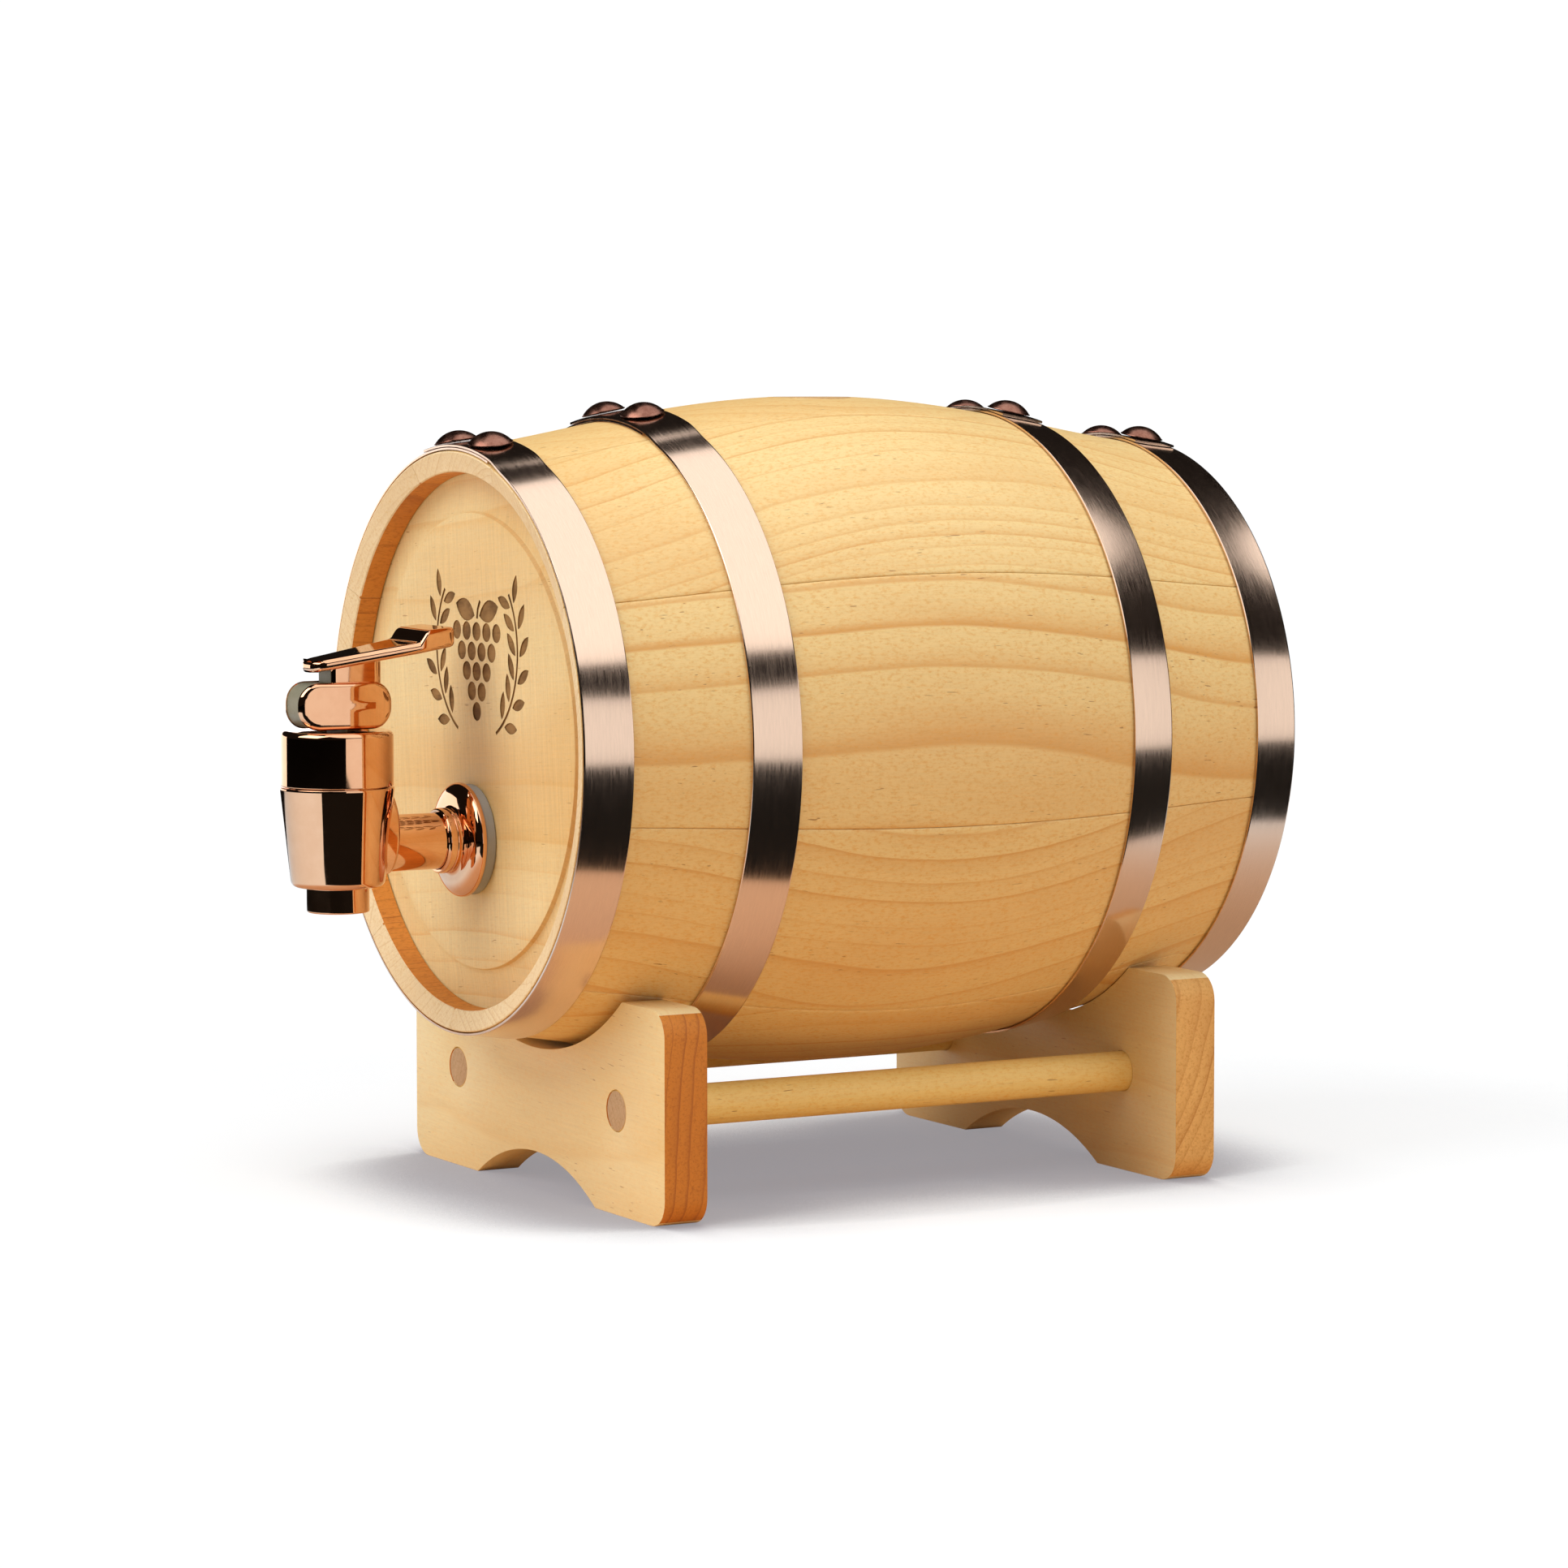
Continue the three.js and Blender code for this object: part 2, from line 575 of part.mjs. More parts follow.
// ---- Stand --------------------------------------------------------------------------------
// Board outline in X and Z: feet and arch below, rounded corners, saddle above.
function boardOutline() {
  const floor = -AXIS_HEIGHT;
  const outline = new THREE.Shape();
  const archRadius = (ARCH_HALF_WIDTH ** 2 + ARCH_HEIGHT ** 2) / (2 * ARCH_HEIGHT);
  const archAngle = Math.asin(ARCH_HALF_WIDTH / archRadius);
  const archCentre = floor + ARCH_HEIGHT - archRadius;
  const inset = BOARD_HALF_WIDTH - BOARD_CORNER;
  const saddleAngle = Math.asin(-BOARD_TOP / SADDLE_RADIUS);
  outline.moveTo(-inset, floor);
  outline.lineTo(-ARCH_HALF_WIDTH, floor);
  outline.absarc(0, archCentre, archRadius, Math.PI / 2 + archAngle, Math.PI / 2 - archAngle, true);
  outline.lineTo(inset, floor);
  outline.absarc(inset, floor + BOARD_CORNER, BOARD_CORNER, -Math.PI / 2, 0, false);
  outline.absarc(inset, BOARD_TOP - BOARD_CORNER, BOARD_CORNER, 0, Math.PI / 2, false);
  outline.absarc(0, 0, SADDLE_RADIUS, -saddleAngle, -Math.PI + saddleAngle, true);
  outline.absarc(-inset, BOARD_TOP - BOARD_CORNER, BOARD_CORNER, Math.PI / 2, Math.PI, false);
  outline.absarc(-inset, floor + BOARD_CORNER, BOARD_CORNER, Math.PI, 1.5 * Math.PI, false);
  for (const side of [-1, 1]) {
    const hole = new THREE.Path();
    hole.absarc(side * DOWEL_X, DOWEL_Z, DOWEL_RADIUS + 0.4, 0, 2 * Math.PI, true);
    outline.holes.push(hole);
  }
  return outline;
}

function addStand() {
  const options = { depth: BOARD_THICKNESS, bevelEnabled: false, curveSegments: 9 };
  const board = new THREE.ExtrudeGeometry(boardOutline(), options).rotateX(Math.PI / 2);
  const front = board.clone().translate(0, -BOARD_INNER_FACE, 0);
  const rear = board.clone().translate(0, BOARD_INNER_FACE + BOARD_THICKNESS, 0);
  add('front_cradle', closed(front), MATERIALS.standWood);
  add('rear_cradle', closed(rear), MATERIALS.standWood);
  const reach = BOARD_INNER_FACE + BOARD_THICKNESS;
  for (const [name, side] of [['left_dowel', -1], ['right_dowel', 1]]) {
    const dowel = rodY(DOWEL_RADIUS, -reach, reach, side * DOWEL_X, DOWEL_Z, 16);
    add(name, closed(dowel), MATERIALS.standWood);
  }
}

addStaves();
addHeads();
addBung();
addHoops();
addTap();
addStand();

export default model;
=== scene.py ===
"""The looks of a small wooden drinks barrel lying on a two-board stand.

Shapes are worked out in millimetres in the barrel's own frame: its axis runs along Y, its front
head and tap face -Y, and its middle is the origin. place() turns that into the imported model's
frame, in metres. Every wooden piece carries a "grain" attribute, the place of each point in the
timber it was cut from, so rings and fibres run through the solid and show as end grain.
"""
import math

import bmesh
import bpy
from mathutils import Matrix, Vector


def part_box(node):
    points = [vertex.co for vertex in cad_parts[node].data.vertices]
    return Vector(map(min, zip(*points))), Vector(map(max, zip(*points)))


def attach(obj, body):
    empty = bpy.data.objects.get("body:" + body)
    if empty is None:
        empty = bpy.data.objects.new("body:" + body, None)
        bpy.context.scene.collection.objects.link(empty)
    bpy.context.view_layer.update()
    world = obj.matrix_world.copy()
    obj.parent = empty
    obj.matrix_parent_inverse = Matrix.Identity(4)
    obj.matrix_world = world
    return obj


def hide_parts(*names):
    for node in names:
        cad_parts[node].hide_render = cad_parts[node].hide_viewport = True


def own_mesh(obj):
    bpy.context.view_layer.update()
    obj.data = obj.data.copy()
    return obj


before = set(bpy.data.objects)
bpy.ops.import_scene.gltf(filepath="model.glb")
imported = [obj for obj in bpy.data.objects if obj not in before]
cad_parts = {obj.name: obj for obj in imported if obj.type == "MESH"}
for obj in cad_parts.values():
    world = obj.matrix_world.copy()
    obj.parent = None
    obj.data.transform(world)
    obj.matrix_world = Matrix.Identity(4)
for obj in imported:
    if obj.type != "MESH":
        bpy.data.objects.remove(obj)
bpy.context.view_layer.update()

# ---- Driving dimensions, in millimetres -----------------------------------------------------
MM = 0.001
FRONT_LO, FRONT_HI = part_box("front_head")
REAR_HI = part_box("rear_head")[1]
MIDDLE = Vector((0.0, (FRONT_LO.y + REAR_HI.y) / 2, (FRONT_LO.z + FRONT_HI.z) / 2))

# Barrel
HALF_LENGTH = 118.6         # middle of the barrel to the ends of the staves
BILGE_RADIUS = 99.7
END_RADIUS = 84.3
CHIME_RADIUS = 78.2         # inner edge of the staves' end grain
CHIME_SLOPE = 1.8
WALL_RADIUS = 77.9          # inside of the staves next to the head
STAVE_THICKNESS = 8.6
SEAM_GAP = 0.05             # half the gap between two staves
BUNG_TOP = 99.4
BUNG_BOTTOM = 89.6

# Heads
HEAD_FACE = 111.9
HEAD_BACK = 102.9
FIELD_RADIUS = 66.4         # raised flat field
COVE_FLOOR = 110.3          # ring round the field
CROZE_FRONT = 110.2
CROZE_BACK = 105.2
CROZE_RADIUS = 81.4
TONGUE_RADIUS = 80.8
EMBLEM_X = 3.0
EMBLEM_Z = 27.0
EMBLEM_DEPTH = 0.35

# Hoops and rivets; strap angles are in degrees and run over the top
HOOP_THICKNESS = 0.75
HOOP_LIFT = 0.25
END_HOOP = (103.9, 118.4)
BILGE_HOOP = (55.3, 69.7)
STRAP_END = 77.4
STRAP_START = 106.5
STRAP_RAMP = 113.0
STRAP_PEEL = 0.12           # how far the strap's end has sprung up
RIVET_ANGLES = (82.5, 97.5)
RIVET_RADIUS = 6.6
RIVET_HEIGHT = 3.3

# Tap; radii and heights of the parts that turn about its vertical axis
TAP_Y = -154.8
BODY_RADIUS = 16.4
BODY_FOOT_RADIUS = 13.35
BODY_TOP = -11.5
BODY_BOTTOM = -40.3
NOZZLE_RADIUS = 9.0
NOZZLE_END = -47.6
CHAMBER_RADIUS = 11.5
CHAMBER_FLOOR = -35
OUTLET_RADIUS = 5.5
BONNET_RADIUS = 16.2
BONNET_TOP = 4.7
STEM_RADIUS = 3.0
SHANK_Z = -28.6
SHANK_RADIUS = 8.2
FLANGE_RADIUS = 16.7
PIN_Z = 11.9
PIN_RADIUS = 1.5

# Lever; its lengths along Y are measured from the tap's vertical axis
BLOCK_HALF_LENGTH = 14.5
BLOCK_HALF_HEIGHT = 6.8
BLOCK_CORNER = 6.2
BLOCK_SHIFT = 0.5
BLOCK_HALF = 5.6            # half width at either end
BLOCK_SWELL = 0.36          # how much wider it is in the middle
BLOCK_BAND = 4.15           # half width of the recessed middle band, which gets a painted grey reflection
NECK_HALF = 5.35
PADDLE_ROOT = -12.8
PADDLE_TIP = -9.3
PADDLE_FLARE = 22.8
PADDLE_END = 32.4
PADDLE_NARROW = 5.2
PADDLE_WIDE = 11.2
PADDLE_TURN = 3.8           # radius of the tip's corners

# Stand
BOARD_INNER_FACE = 78.6
BOARD_THICKNESS = 13.6
BOARD_HALF_WIDTH = 82.4
BOARD_TOP = -71.5
BOARD_CORNER = 8.0
SADDLE_RADIUS = 90.9
ARCH_HALF_WIDTH = 39.0
ARCH_HEIGHT = 11.3
FLOOR = -133.0
DOWEL_RADIUS = 6.0
DOWEL_X = 52.5
DOWEL_Z = -103.1

# Camera and reflected panel; metres and degrees
AZIMUTH = 60.817
ELEVATION = 4.114
DISTANCE = 1.5619
SENSOR = 36.0               # lens and sensor in millimetres
LENS = 119.061
SHIFT = (-0.0156988, -0.0359938)
PANEL_EDGE = 0.178
PANEL_TURN = -0.40
FLOOR_HALF = 3.0
SHADOW_REACH = 0.068

WELD = 1e-7                 # points closer than this, in metres, are one point


# ---- Mesh helpers ---------------------------------------------------------------------------
def place(point):
    """A point in millimetres in the barrel's frame, as metres in the model's frame."""
    return MIDDLE + Vector(point) * MM


def unplace(point):
    return (Vector(point) - MIDDLE) / MM


def polar(radius, degrees, y):
    a = math.radians(degrees)
    return (radius * math.cos(a), y, radius * math.sin(a))


def lerp(a, b, t):
    return a + (b - a) * t


def steps(first, last, count):
    return [lerp(first, last, i / count) for i in range(count + 1)]


def arc(cx, cy, radius, start, end, count):
    """Points on a circle from one angle to another, in degrees."""
    found = []
    for angle in steps(start, end, count):
        a = math.radians(angle)
        found.append((cx + radius * math.cos(a), cy + radius * math.sin(a)))
    return found


def circle(radius, count, cx=0.0, cy=0.0):
    """Points right round a circle."""
    return arc(cx, cy, radius, 0, 360, count)[:-1]


def add_object(name, data):
    obj = bpy.data.objects.new(name, data)
    bpy.context.scene.collection.objects.link(obj)
    return obj


def mend(mesh, operation, kind):
    """Weld a mesh's "verts" or "edges" with a bmesh operation and turn its faces outward."""
    bm = bmesh.new()
    bm.from_mesh(mesh)
    operation(bm, dist=WELD, **{kind: getattr(bm, kind)})
    bmesh.ops.recalc_face_normals(bm, faces=bm.faces)
    bm.to_mesh(mesh)
    bm.free()


def make_mesh(name, verts, faces, smooth):
    """A closed mesh from points in the barrel's frame, faces outward, soft below the angle."""
    mesh = bpy.data.meshes.new(name)
    mesh.from_pydata([place(v) for v in verts], [], faces)
    mend(mesh, bmesh.ops.remove_doubles, "verts")
    soften(mesh, smooth)
    return add_object(name, mesh)


def soften(mesh, angle):
    mesh.shade_smooth()
    mesh.set_sharp_from_angle(angle=math.radians(angle))


def bake_modifiers(obj):
    """Replace the object's mesh with the one its modifiers make."""
    graph = bpy.context.evaluated_depsgraph_get()
    made = bpy.data.meshes.new_from_object(obj.evaluated_get(graph))
    obj.modifiers.clear()
    obj.data = made


def skin(loops, capped):
    """Points and faces between each loop and the next; the ends are capped or meet each other."""
    count = len(loops[0])
    faces = []
    for i in range(len(loops) - capped):
        here, there = i * count, (i + 1) % len(loops) * count
        for k in range(count):
            m = (k + 1) % count
            faces.append((here + k, there + k, there + m, here + m))
    if capped:
        faces += [tuple(range(count)), tuple((len(loops) - 1) * count + k for k in range(count))]
    return [point for ring in loops for point in ring], faces


def revolve(name, outline, segments, axis="Y", centre=(0, 0, 0), smooth=35.0):
    """Turn a closed outline of (radius, height) about an axis through centre."""
    loops = []
    for u, v in circle(1.0, segments):
        ring = [(r * u, h, r * v) if axis == "Y" else (r * u, r * v, h) for r, h in outline]
        loops.append([Vector(centre) + Vector(point) for point in ring])
    verts, faces = skin(loops, capped=False)
    on_axis = [k for k, (radius, height) in enumerate(outline) if radius == 0]
    count = len(outline)
    faces = [f for f in faces if f[0] % count not in on_axis or f[2] % count not in on_axis]
    obj = make_mesh(name, verts, faces, smooth)
    mend(obj.data, bmesh.ops.dissolve_degenerate, "edges")
    soften(obj.data, smooth)
    return obj


def loft(name, loops, smooth=35.0):
    """Skin a row of loops that all have the same number of points, and close both ends."""
    return make_mesh(name, *skin(loops, capped=True), smooth)


def cut(obj, cutter, smooth):
    """Cut one closed mesh out of another, keeping the cutter's materials on the cut faces."""
    tool = obj.modifiers.new("cut", "BOOLEAN")
    tool.object = cutter
    tool.operation = "DIFFERENCE"
    tool.solver = "EXACT"
    tool.material_mode = "TRANSFER"
    bake_modifiers(obj)
    soften(obj.data, smooth)
    bpy.data.objects.remove(cutter)


def slab(name, outline, holes, near, far, rounding):
    """A flat board standing across Y, from an (x, z) outline with round holes and soft edges."""
    bm = bmesh.new()
    edges = []
    for loop in [outline, *holes]:
        corners = [bm.verts.new(place((x, near, z))) for x, z in loop]
        for i, corner in enumerate(corners):
            edges.append(bm.edges.new((corner, corners[(i + 1) % len(corners)])))
    bmesh.ops.triangle_fill(bm, use_beauty=True, edges=edges)
    grown = bmesh.ops.extrude_face_region(bm, geom=bm.faces[:])
    moved = [g for g in grown["geom"] if isinstance(g, bmesh.types.BMVert)]
    bmesh.ops.translate(bm, verts=moved, vec=(0, (far - near) * MM, 0))
    bmesh.ops.recalc_face_normals(bm, faces=bm.faces)
    mesh = bpy.data.meshes.new(name)
    bm.to_mesh(mesh)
    bm.free()
    obj = add_object(name, mesh)
    bevel(obj, rounding, 3, 40)
    soften(obj.data, 40)
    return obj


def bevel(obj, width, segments, angle, clamp=True):
    """Round the edges sharper than an angle."""
    tool = obj.modifiers.new("round", "BEVEL")
    tool.width = width * MM
    tool.segments = segments
    tool.limit_method = "ANGLE"
    tool.angle_limit = math.radians(angle)
    tool.use_clamp_overlap = clamp
    bake_modifiers(obj)


def piece(obj, body, node, material=None):
    """Make a finished mesh ride on its CAD body and stand for one of its nodes."""
    if material:
        obj.data.materials.clear()
        obj.data.materials.append(MATERIALS[material])
    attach(obj, body)
    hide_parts(node)


def plated(obj, body, node):
    """A polished piece; its large faces set the normals, so reflections stay true up to a fillet."""
    obj.modifiers.new("even", "WEIGHTED_NORMAL").keep_sharp = True
    bake_modifiers(obj)
    material = None if obj.data.materials else "rose_gold"
    piece(obj, body, node, material)


# ---- Node helpers ---------------------------------------------------------------------------
class Shader:
    """Builds one material's nodes with short calls."""

    def __init__(self, name):
        self.material = bpy.data.materials.new(name)
        self.material.use_nodes = True
        self.tree = self.material.node_tree
        self.bsdf = self.tree.nodes["Principled BSDF"]

    def feed(self, socket, value):
        if isinstance(value, bpy.types.NodeSocket):
            self.tree.links.new(value, socket)
        elif value is not None:
            socket.default_value = value

    def node(self, kind, values=(), output=0, **settings):
        """Add a node, feed its inputs in order, and return one of its outputs."""
        made = self.tree.nodes.new(kind)
        for key, value in settings.items():
            setattr(made, key, value)
        for socket, value in zip(made.inputs, values):
            self.feed(socket, value)
        return made.outputs[output]

    def math(self, operation, *values, clamp=False):
        return self.node("ShaderNodeMath", values, operation=operation, use_clamp=clamp)

    def times(self, a, b):
        return self.math("MULTIPLY", a, b)

    def plus(self, a, b):
        return self.math("ADD", a, b)

    def vector(self, operation, *values):
        output = "Value" if operation == "LENGTH" else 0
        return self.node("ShaderNodeVectorMath", values, output, operation=operation)

    def attribute(self, name):
        return self.node("ShaderNodeAttribute", (), "Vector", attribute_name=name)

    def where(self):
        """Each point's place in the model, in metres."""
        return self.node("ShaderNodeTexCoord", (), "Object")

    def split(self, vector):
        return self.node("ShaderNodeSeparateXYZ", (vector,)).node.outputs

    def join(self, x, y, z):
        return self.node("ShaderNodeCombineXYZ", (x, y, z))

    def noise(self, vector, scale, detail=2.0, roughness=0.5):
        return self.node("ShaderNodeTexNoise", (vector, None, scale, detail, roughness))

    def streaks(self, vector, stretch, detail=2.0, roughness=0.5):
        """Noise squeezed by its own factor along each axis."""
        return self.noise(self.vector("MULTIPLY", vector, stretch), 1.0, detail, roughness)

    def ramp(self, value, low, high, to_low=0.0, to_high=1.0, soft=True):
        kind = "SMOOTHSTEP" if soft else "LINEAR"
        values = (value, low, high, to_low, to_high)
        return self.node("ShaderNodeMapRange", values, interpolation_type=kind)

    def blend(self, factor, first, second, mode="MIX"):
        values = (factor, *[None] * 5, first, second)       # the colours are inputs 6 and 7
        return self.node("ShaderNodeMix", values, 2, data_type="RGBA", blend_type=mode)

    def toned(self, colour, tone):
        """A colour made lighter or darker by a factor."""
        return self.blend(1.0, colour, self.join(tone, tone, tone), mode="MULTIPLY")

    def bump(self, height, strength, distance):
        made = self.tree.nodes.new("ShaderNodeBump")
        made.inputs["Strength"].default_value = strength
        made.inputs["Distance"].default_value = distance
        self.feed(made.inputs["Height"], height)
        self.feed(self.bsdf.inputs["Normal"], made.outputs[0])

    def colour(self, value):
        self.feed(self.bsdf.inputs["Base Color"], value)

    def set(self, **sockets):
        for name, value in sockets.items():
            self.feed(self.bsdf.inputs[name.replace("_", " ")], value)


def rgb(red, green, blue):
    return (red, green, blue, 1.0)


def scaled(colour, factors):
    """A colour with its red, green and blue multiplied each by its own factor."""
    return rgb(*(part * factor for part, factor in zip(colour, factors)))


# ---- Wood -----------------------------------------------------------------------------------
def ring_count(s, grain, ring_width, stipple):
    """How many rings lie inside each point; their edges wander and their widths vary."""
    x, _, z = s.split(grain)
    drift = s.streaks(grain, (0.012, 0.0050, 0.012), 1.0)
    sway = s.streaks(grain, (0.050, 0.016, 0.050))
    radius = s.vector("LENGTH", s.join(x, 0.0, z))
    for wander, reach in ((drift, 16.0), (sway, 2.6), (stipple, 0.70)):
        radius = s.plus(radius, s.times(wander, reach))
    turns = s.math("DIVIDE", radius, ring_width)
    uneven = s.noise(s.join(s.times(turns, 0.7), 0.0, 0.0), 1.0, 1.0)
    season = s.noise(s.join(s.times(turns, 0.2), 7.0, 0.0), 1.0, 1.0)
    return s.plus(s.plus(turns, s.times(uneven, 1.3)), s.times(season, 4.0))


def latewood(s, grain, turns, contrast):
    """How dark each ring is: a slope that ends in a line, stronger in some rings and patches."""
    phase = s.math("FRACT", turns)
    own = s.node("ShaderNodeTexWhiteNoise", (None, s.math("FLOOR", turns)), noise_dimensions="1D")
    own = s.ramp(own, 0.0, 1.0, 0.25, 1.0, soft=False)
    fall = s.ramp(phase, 0.95, 1.0, 1.0, 0.0)
    line = s.times(s.ramp(phase, 0.80, 0.97), fall)
    slope = s.times(s.math("POWER", phase, 2.3), fall)
    patchy = s.streaks(grain, (0.045, 0.008, 0.045))
    sharp = s.times(s.ramp(patchy, 0.34, 0.66, 0.28, 0.85), contrast)
    broad = s.times(s.ramp(patchy, 0.42, 0.62, 0.72, 0.18), contrast)
    ring = s.math("ADD", s.times(line, sharp), s.times(slope, broad), clamp=True)
    return s.times(ring, own)


def resin_flecks(s, grain, flecks):
    """Short dark dashes along the fibres, crowded in some places."""
    dash = s.streaks(grain, (1.7, 0.17, 1.7), 1.0, 0.4)
    crowd = s.ramp(s.streaks(grain, (0.06, 0.02, 0.06)), 0.44, 0.62, 0.15, 1.0)
    return s.times(s.times(s.ramp(dash, 0.715, 0.78), 0.80 * flecks), crowd)


def wood(name, early, late, ring_width, contrast, roughness, flecks=1.0, relief=0.3, warmth=0.30,
         speckle=1.0, sanding=0.0):
    """Softwood: each ring darkens slowly to its latewood edge, with fibres, stipple and flecks.

    The grain attribute is in millimetres: Y runs along the fibres and the pith is the Y axis.
    Sanding adds fine lines across the fibres.
    """
    s = Shader(name)
    grain = s.attribute("grain")
    stipple = s.streaks(grain, (1.25, 0.55, 1.25), 3.0, 0.72)
    fibre = s.streaks(grain, (2.4, 0.07, 2.4), 3.0, 0.6)
    warm = s.ramp(s.streaks(grain, (0.022, 0.006, 0.022)), 0.35, 0.72)
    colour = s.blend(s.times(warm, warmth), early, late)
    ring = latewood(s, grain, ring_count(s, grain, ring_width, stipple), contrast)
    colour = s.blend(ring, colour, late)
    orange = scaled(late, (1.12, 1.10, 0.85))
    colour = s.blend(s.ramp(stipple, 0.45, 0.75, 0.0, 0.62 * speckle), colour, orange)

    shade = s.times(s.ramp(fibre, 0.25, 0.75, 0.955, 1.04, soft=False),
                    s.ramp(stipple, 0.25, 0.75, 1 + 0.025 * speckle, 1 - 0.02 * speckle, soft=False))
    if sanding:
        lines = s.streaks(grain, (0.05, 1.9, 0.05), 2.0, 0.6)
        shade = s.times(shade, s.ramp(lines, 0.3, 0.7, 1 - sanding, 1 + sanding, soft=False))
    dash = resin_flecks(s, grain, flecks)
    s.colour(s.blend(dash, s.toned(colour, shade), scaled(late, (0.50, 0.38, 0.36))))
    s.set(Roughness=s.ramp(fibre, 0.2, 0.8, roughness - 0.05, roughness + 0.07, soft=False))
    s.set(Specular_IOR_Level=0.50)
    height = s.plus(s.times(fibre, 0.5), s.times(stipple, 0.3 * speckle))
    s.bump(s.math("SUBTRACT", height, s.times(dash, 0.9)), relief, 0.00012)
    return s.material


MATERIALS = {}
STAVE_EARLY = rgb(0.85, 0.625, 0.275)
STAVE_LATE = rgb(0.69, 0.335, 0.080)
# Each stave's first seam, in degrees from +X up to +Z; its ring width and how strongly the
# latewood shows; and where its pith lies, sideways and below the face, and the fibres' slant.
STAVES = {
    "stave_1": (-52, 6.5, 0.85, -34, 46, -0.01),
    "stave_2": (-12.8, 14.5, 0.95, 62, 38, 0.03),
    "stave_3": (30, 4.4, 0.90, 52, 62, -0.01),
    "bung_stave": (71.6, 3.2, 0.6, -30, 70, 0.01),
    "stave_4": (108.4, 6.0, 0.8, 14, 100, -0.02),
    "stave_5": (150, 8.0, 0.85, -45, 50, 0.02),
    "stave_6": (188, 5.0, 0.8, 40, 60, -0.03),
    "stave_7": (228, 7.0, 0.8, -52, 46, 0.015),
    "stave_8": (268, 6.0, 0.9, 30, 55, -0.02),
}
# Early and late colour, ring width, contrast, roughness, flecks and extras of the other woods.
WOODS = {
    "stave_end": ("stave_end_grain", rgb(0.88, 0.73, 0.48), rgb(0.66, 0.44, 0.21),
                  2.4, 0.9, 0.75, 0.6, {"relief": 0.6}),
    "stave_wall": ("stave_wall_wood", rgb(0.76, 0.30, 0.045), rgb(0.40, 0.11, 0.014),
                   2.6, 1.0, 0.55, 0.8, {"relief": 0.6}),
    "head": ("head_wood", rgb(0.85, 0.68, 0.36), rgb(0.74, 0.41, 0.11),
             9.0, 0.55, 0.50, 0.8, {"warmth": 0.55, "speckle": 0.4, "sanding": 0.06}),
    "board": ("board_wood", rgb(0.92, 0.79, 0.47), rgb(0.80, 0.50, 0.18),
              7.0, 0.5, 0.48, 0.8, {"speckle": 0.5}),
    "front_end": ("front_board_end_grain", rgb(0.74, 0.27, 0.026), rgb(0.40, 0.11, 0.012),
                  5.0, 0.9, 0.60, 0.5, {"relief": 0.6}),
    "rear_end": ("rear_board_end_grain", rgb(0.84, 0.50, 0.16), rgb(0.50, 0.19, 0.03),
                 6.0, 0.9, 0.60, 0.5, {"relief": 0.6}),
    "dowel": ("dowel_wood", rgb(0.94, 0.70, 0.25), rgb(0.78, 0.44, 0.10), 4.0, 0.6, 0.50, 1.6, {}),
    "dowel_end": ("dowel_end_grain", rgb(0.58, 0.40, 0.24), rgb(0.38, 0.22, 0.11),
                  1.6, 0.8, 0.70, 0.5, {"relief": 0.5}),
    "bung": ("bung_wood", rgb(0.62, 0.40, 0.19), rgb(0.42, 0.22, 0.08), 2.2, 0.8, 0.55, 1.0, {}),
}


def make_woods():
    for name, (_, width, contrast, *_) in STAVES.items():
        MATERIALS[name] = wood(name + "_timber", STAVE_EARLY, STAVE_LATE, width, contrast, 0.50)
    for name, (*looks, extras) in WOODS.items():
        MATERIALS[name] = wood(*looks, **extras)


def store(obj, name, find):
    """Store on each point the vector that find() gives for its place in the barrel's frame."""
    data = obj.data.attributes.new(name, "FLOAT_VECTOR", "POINT")
    flat = []
    for vertex in obj.data.vertices:
        flat.extend(find(unplace(vertex.co)))
    data.data.foreach_set("vector", flat)


def paint_faces(obj, names, choose):
    """Give each face the material whose number choose() returns for its centre and normal."""
    mesh = obj.data
    mesh.materials.clear()
    for name in names:
        mesh.materials.append(MATERIALS[name])
    for polygon in mesh.polygons:
        polygon.material_index = choose(unplace(polygon.center), polygon.normal)


# ---- Staves ---------------------------------------------------------------------------------
def wood_radius(y):
    """Outside radius of the staves at a distance y from the middle."""
    t = (y / HALF_LENGTH) ** 2
    return BILGE_RADIUS - (BILGE_RADIUS - END_RADIUS) * (1.616 * t - 0.616 * t * t)


def stave_outline():
    """(radius, y, edge) round a stave; edge is 1 on the outside, where the seams are eased."""
    outside = [(wood_radius(y), y, 1.0) for y in steps(-HALF_LENGTH + 0.5, HALF_LENGTH - 0.5, 64)]
    rim, end = wood_radius(HALF_LENGTH), HALF_LENGTH
    rear = [
        (rim - 0.15, end - 0.12, 1.0),
        (rim - 0.5, end - 0.02, 0.6),
        (lerp(END_RADIUS, CHIME_RADIUS, 0.5), end - CHIME_SLOPE * 0.5, 0.3),
        (CHIME_RADIUS + 0.3, end - CHIME_SLOPE + 0.08, 0.3),
        (CHIME_RADIUS, end - CHIME_SLOPE - 0.3, 0.0),
        (WALL_RADIUS, CROZE_FRONT, 0.0),
        (CROZE_RADIUS, CROZE_FRONT, 0.0),
        (CROZE_RADIUS, CROZE_BACK, 0.0),
        (WALL_RADIUS, CROZE_BACK, 0.0),
    ]
    rear += [(wood_radius(y) - STAVE_THICKNESS, y, 0.0) for y in steps(96, 0, 6)]
    return outside + rear + [(r, -y, e) for r, y, e in rear[-2::-1]]


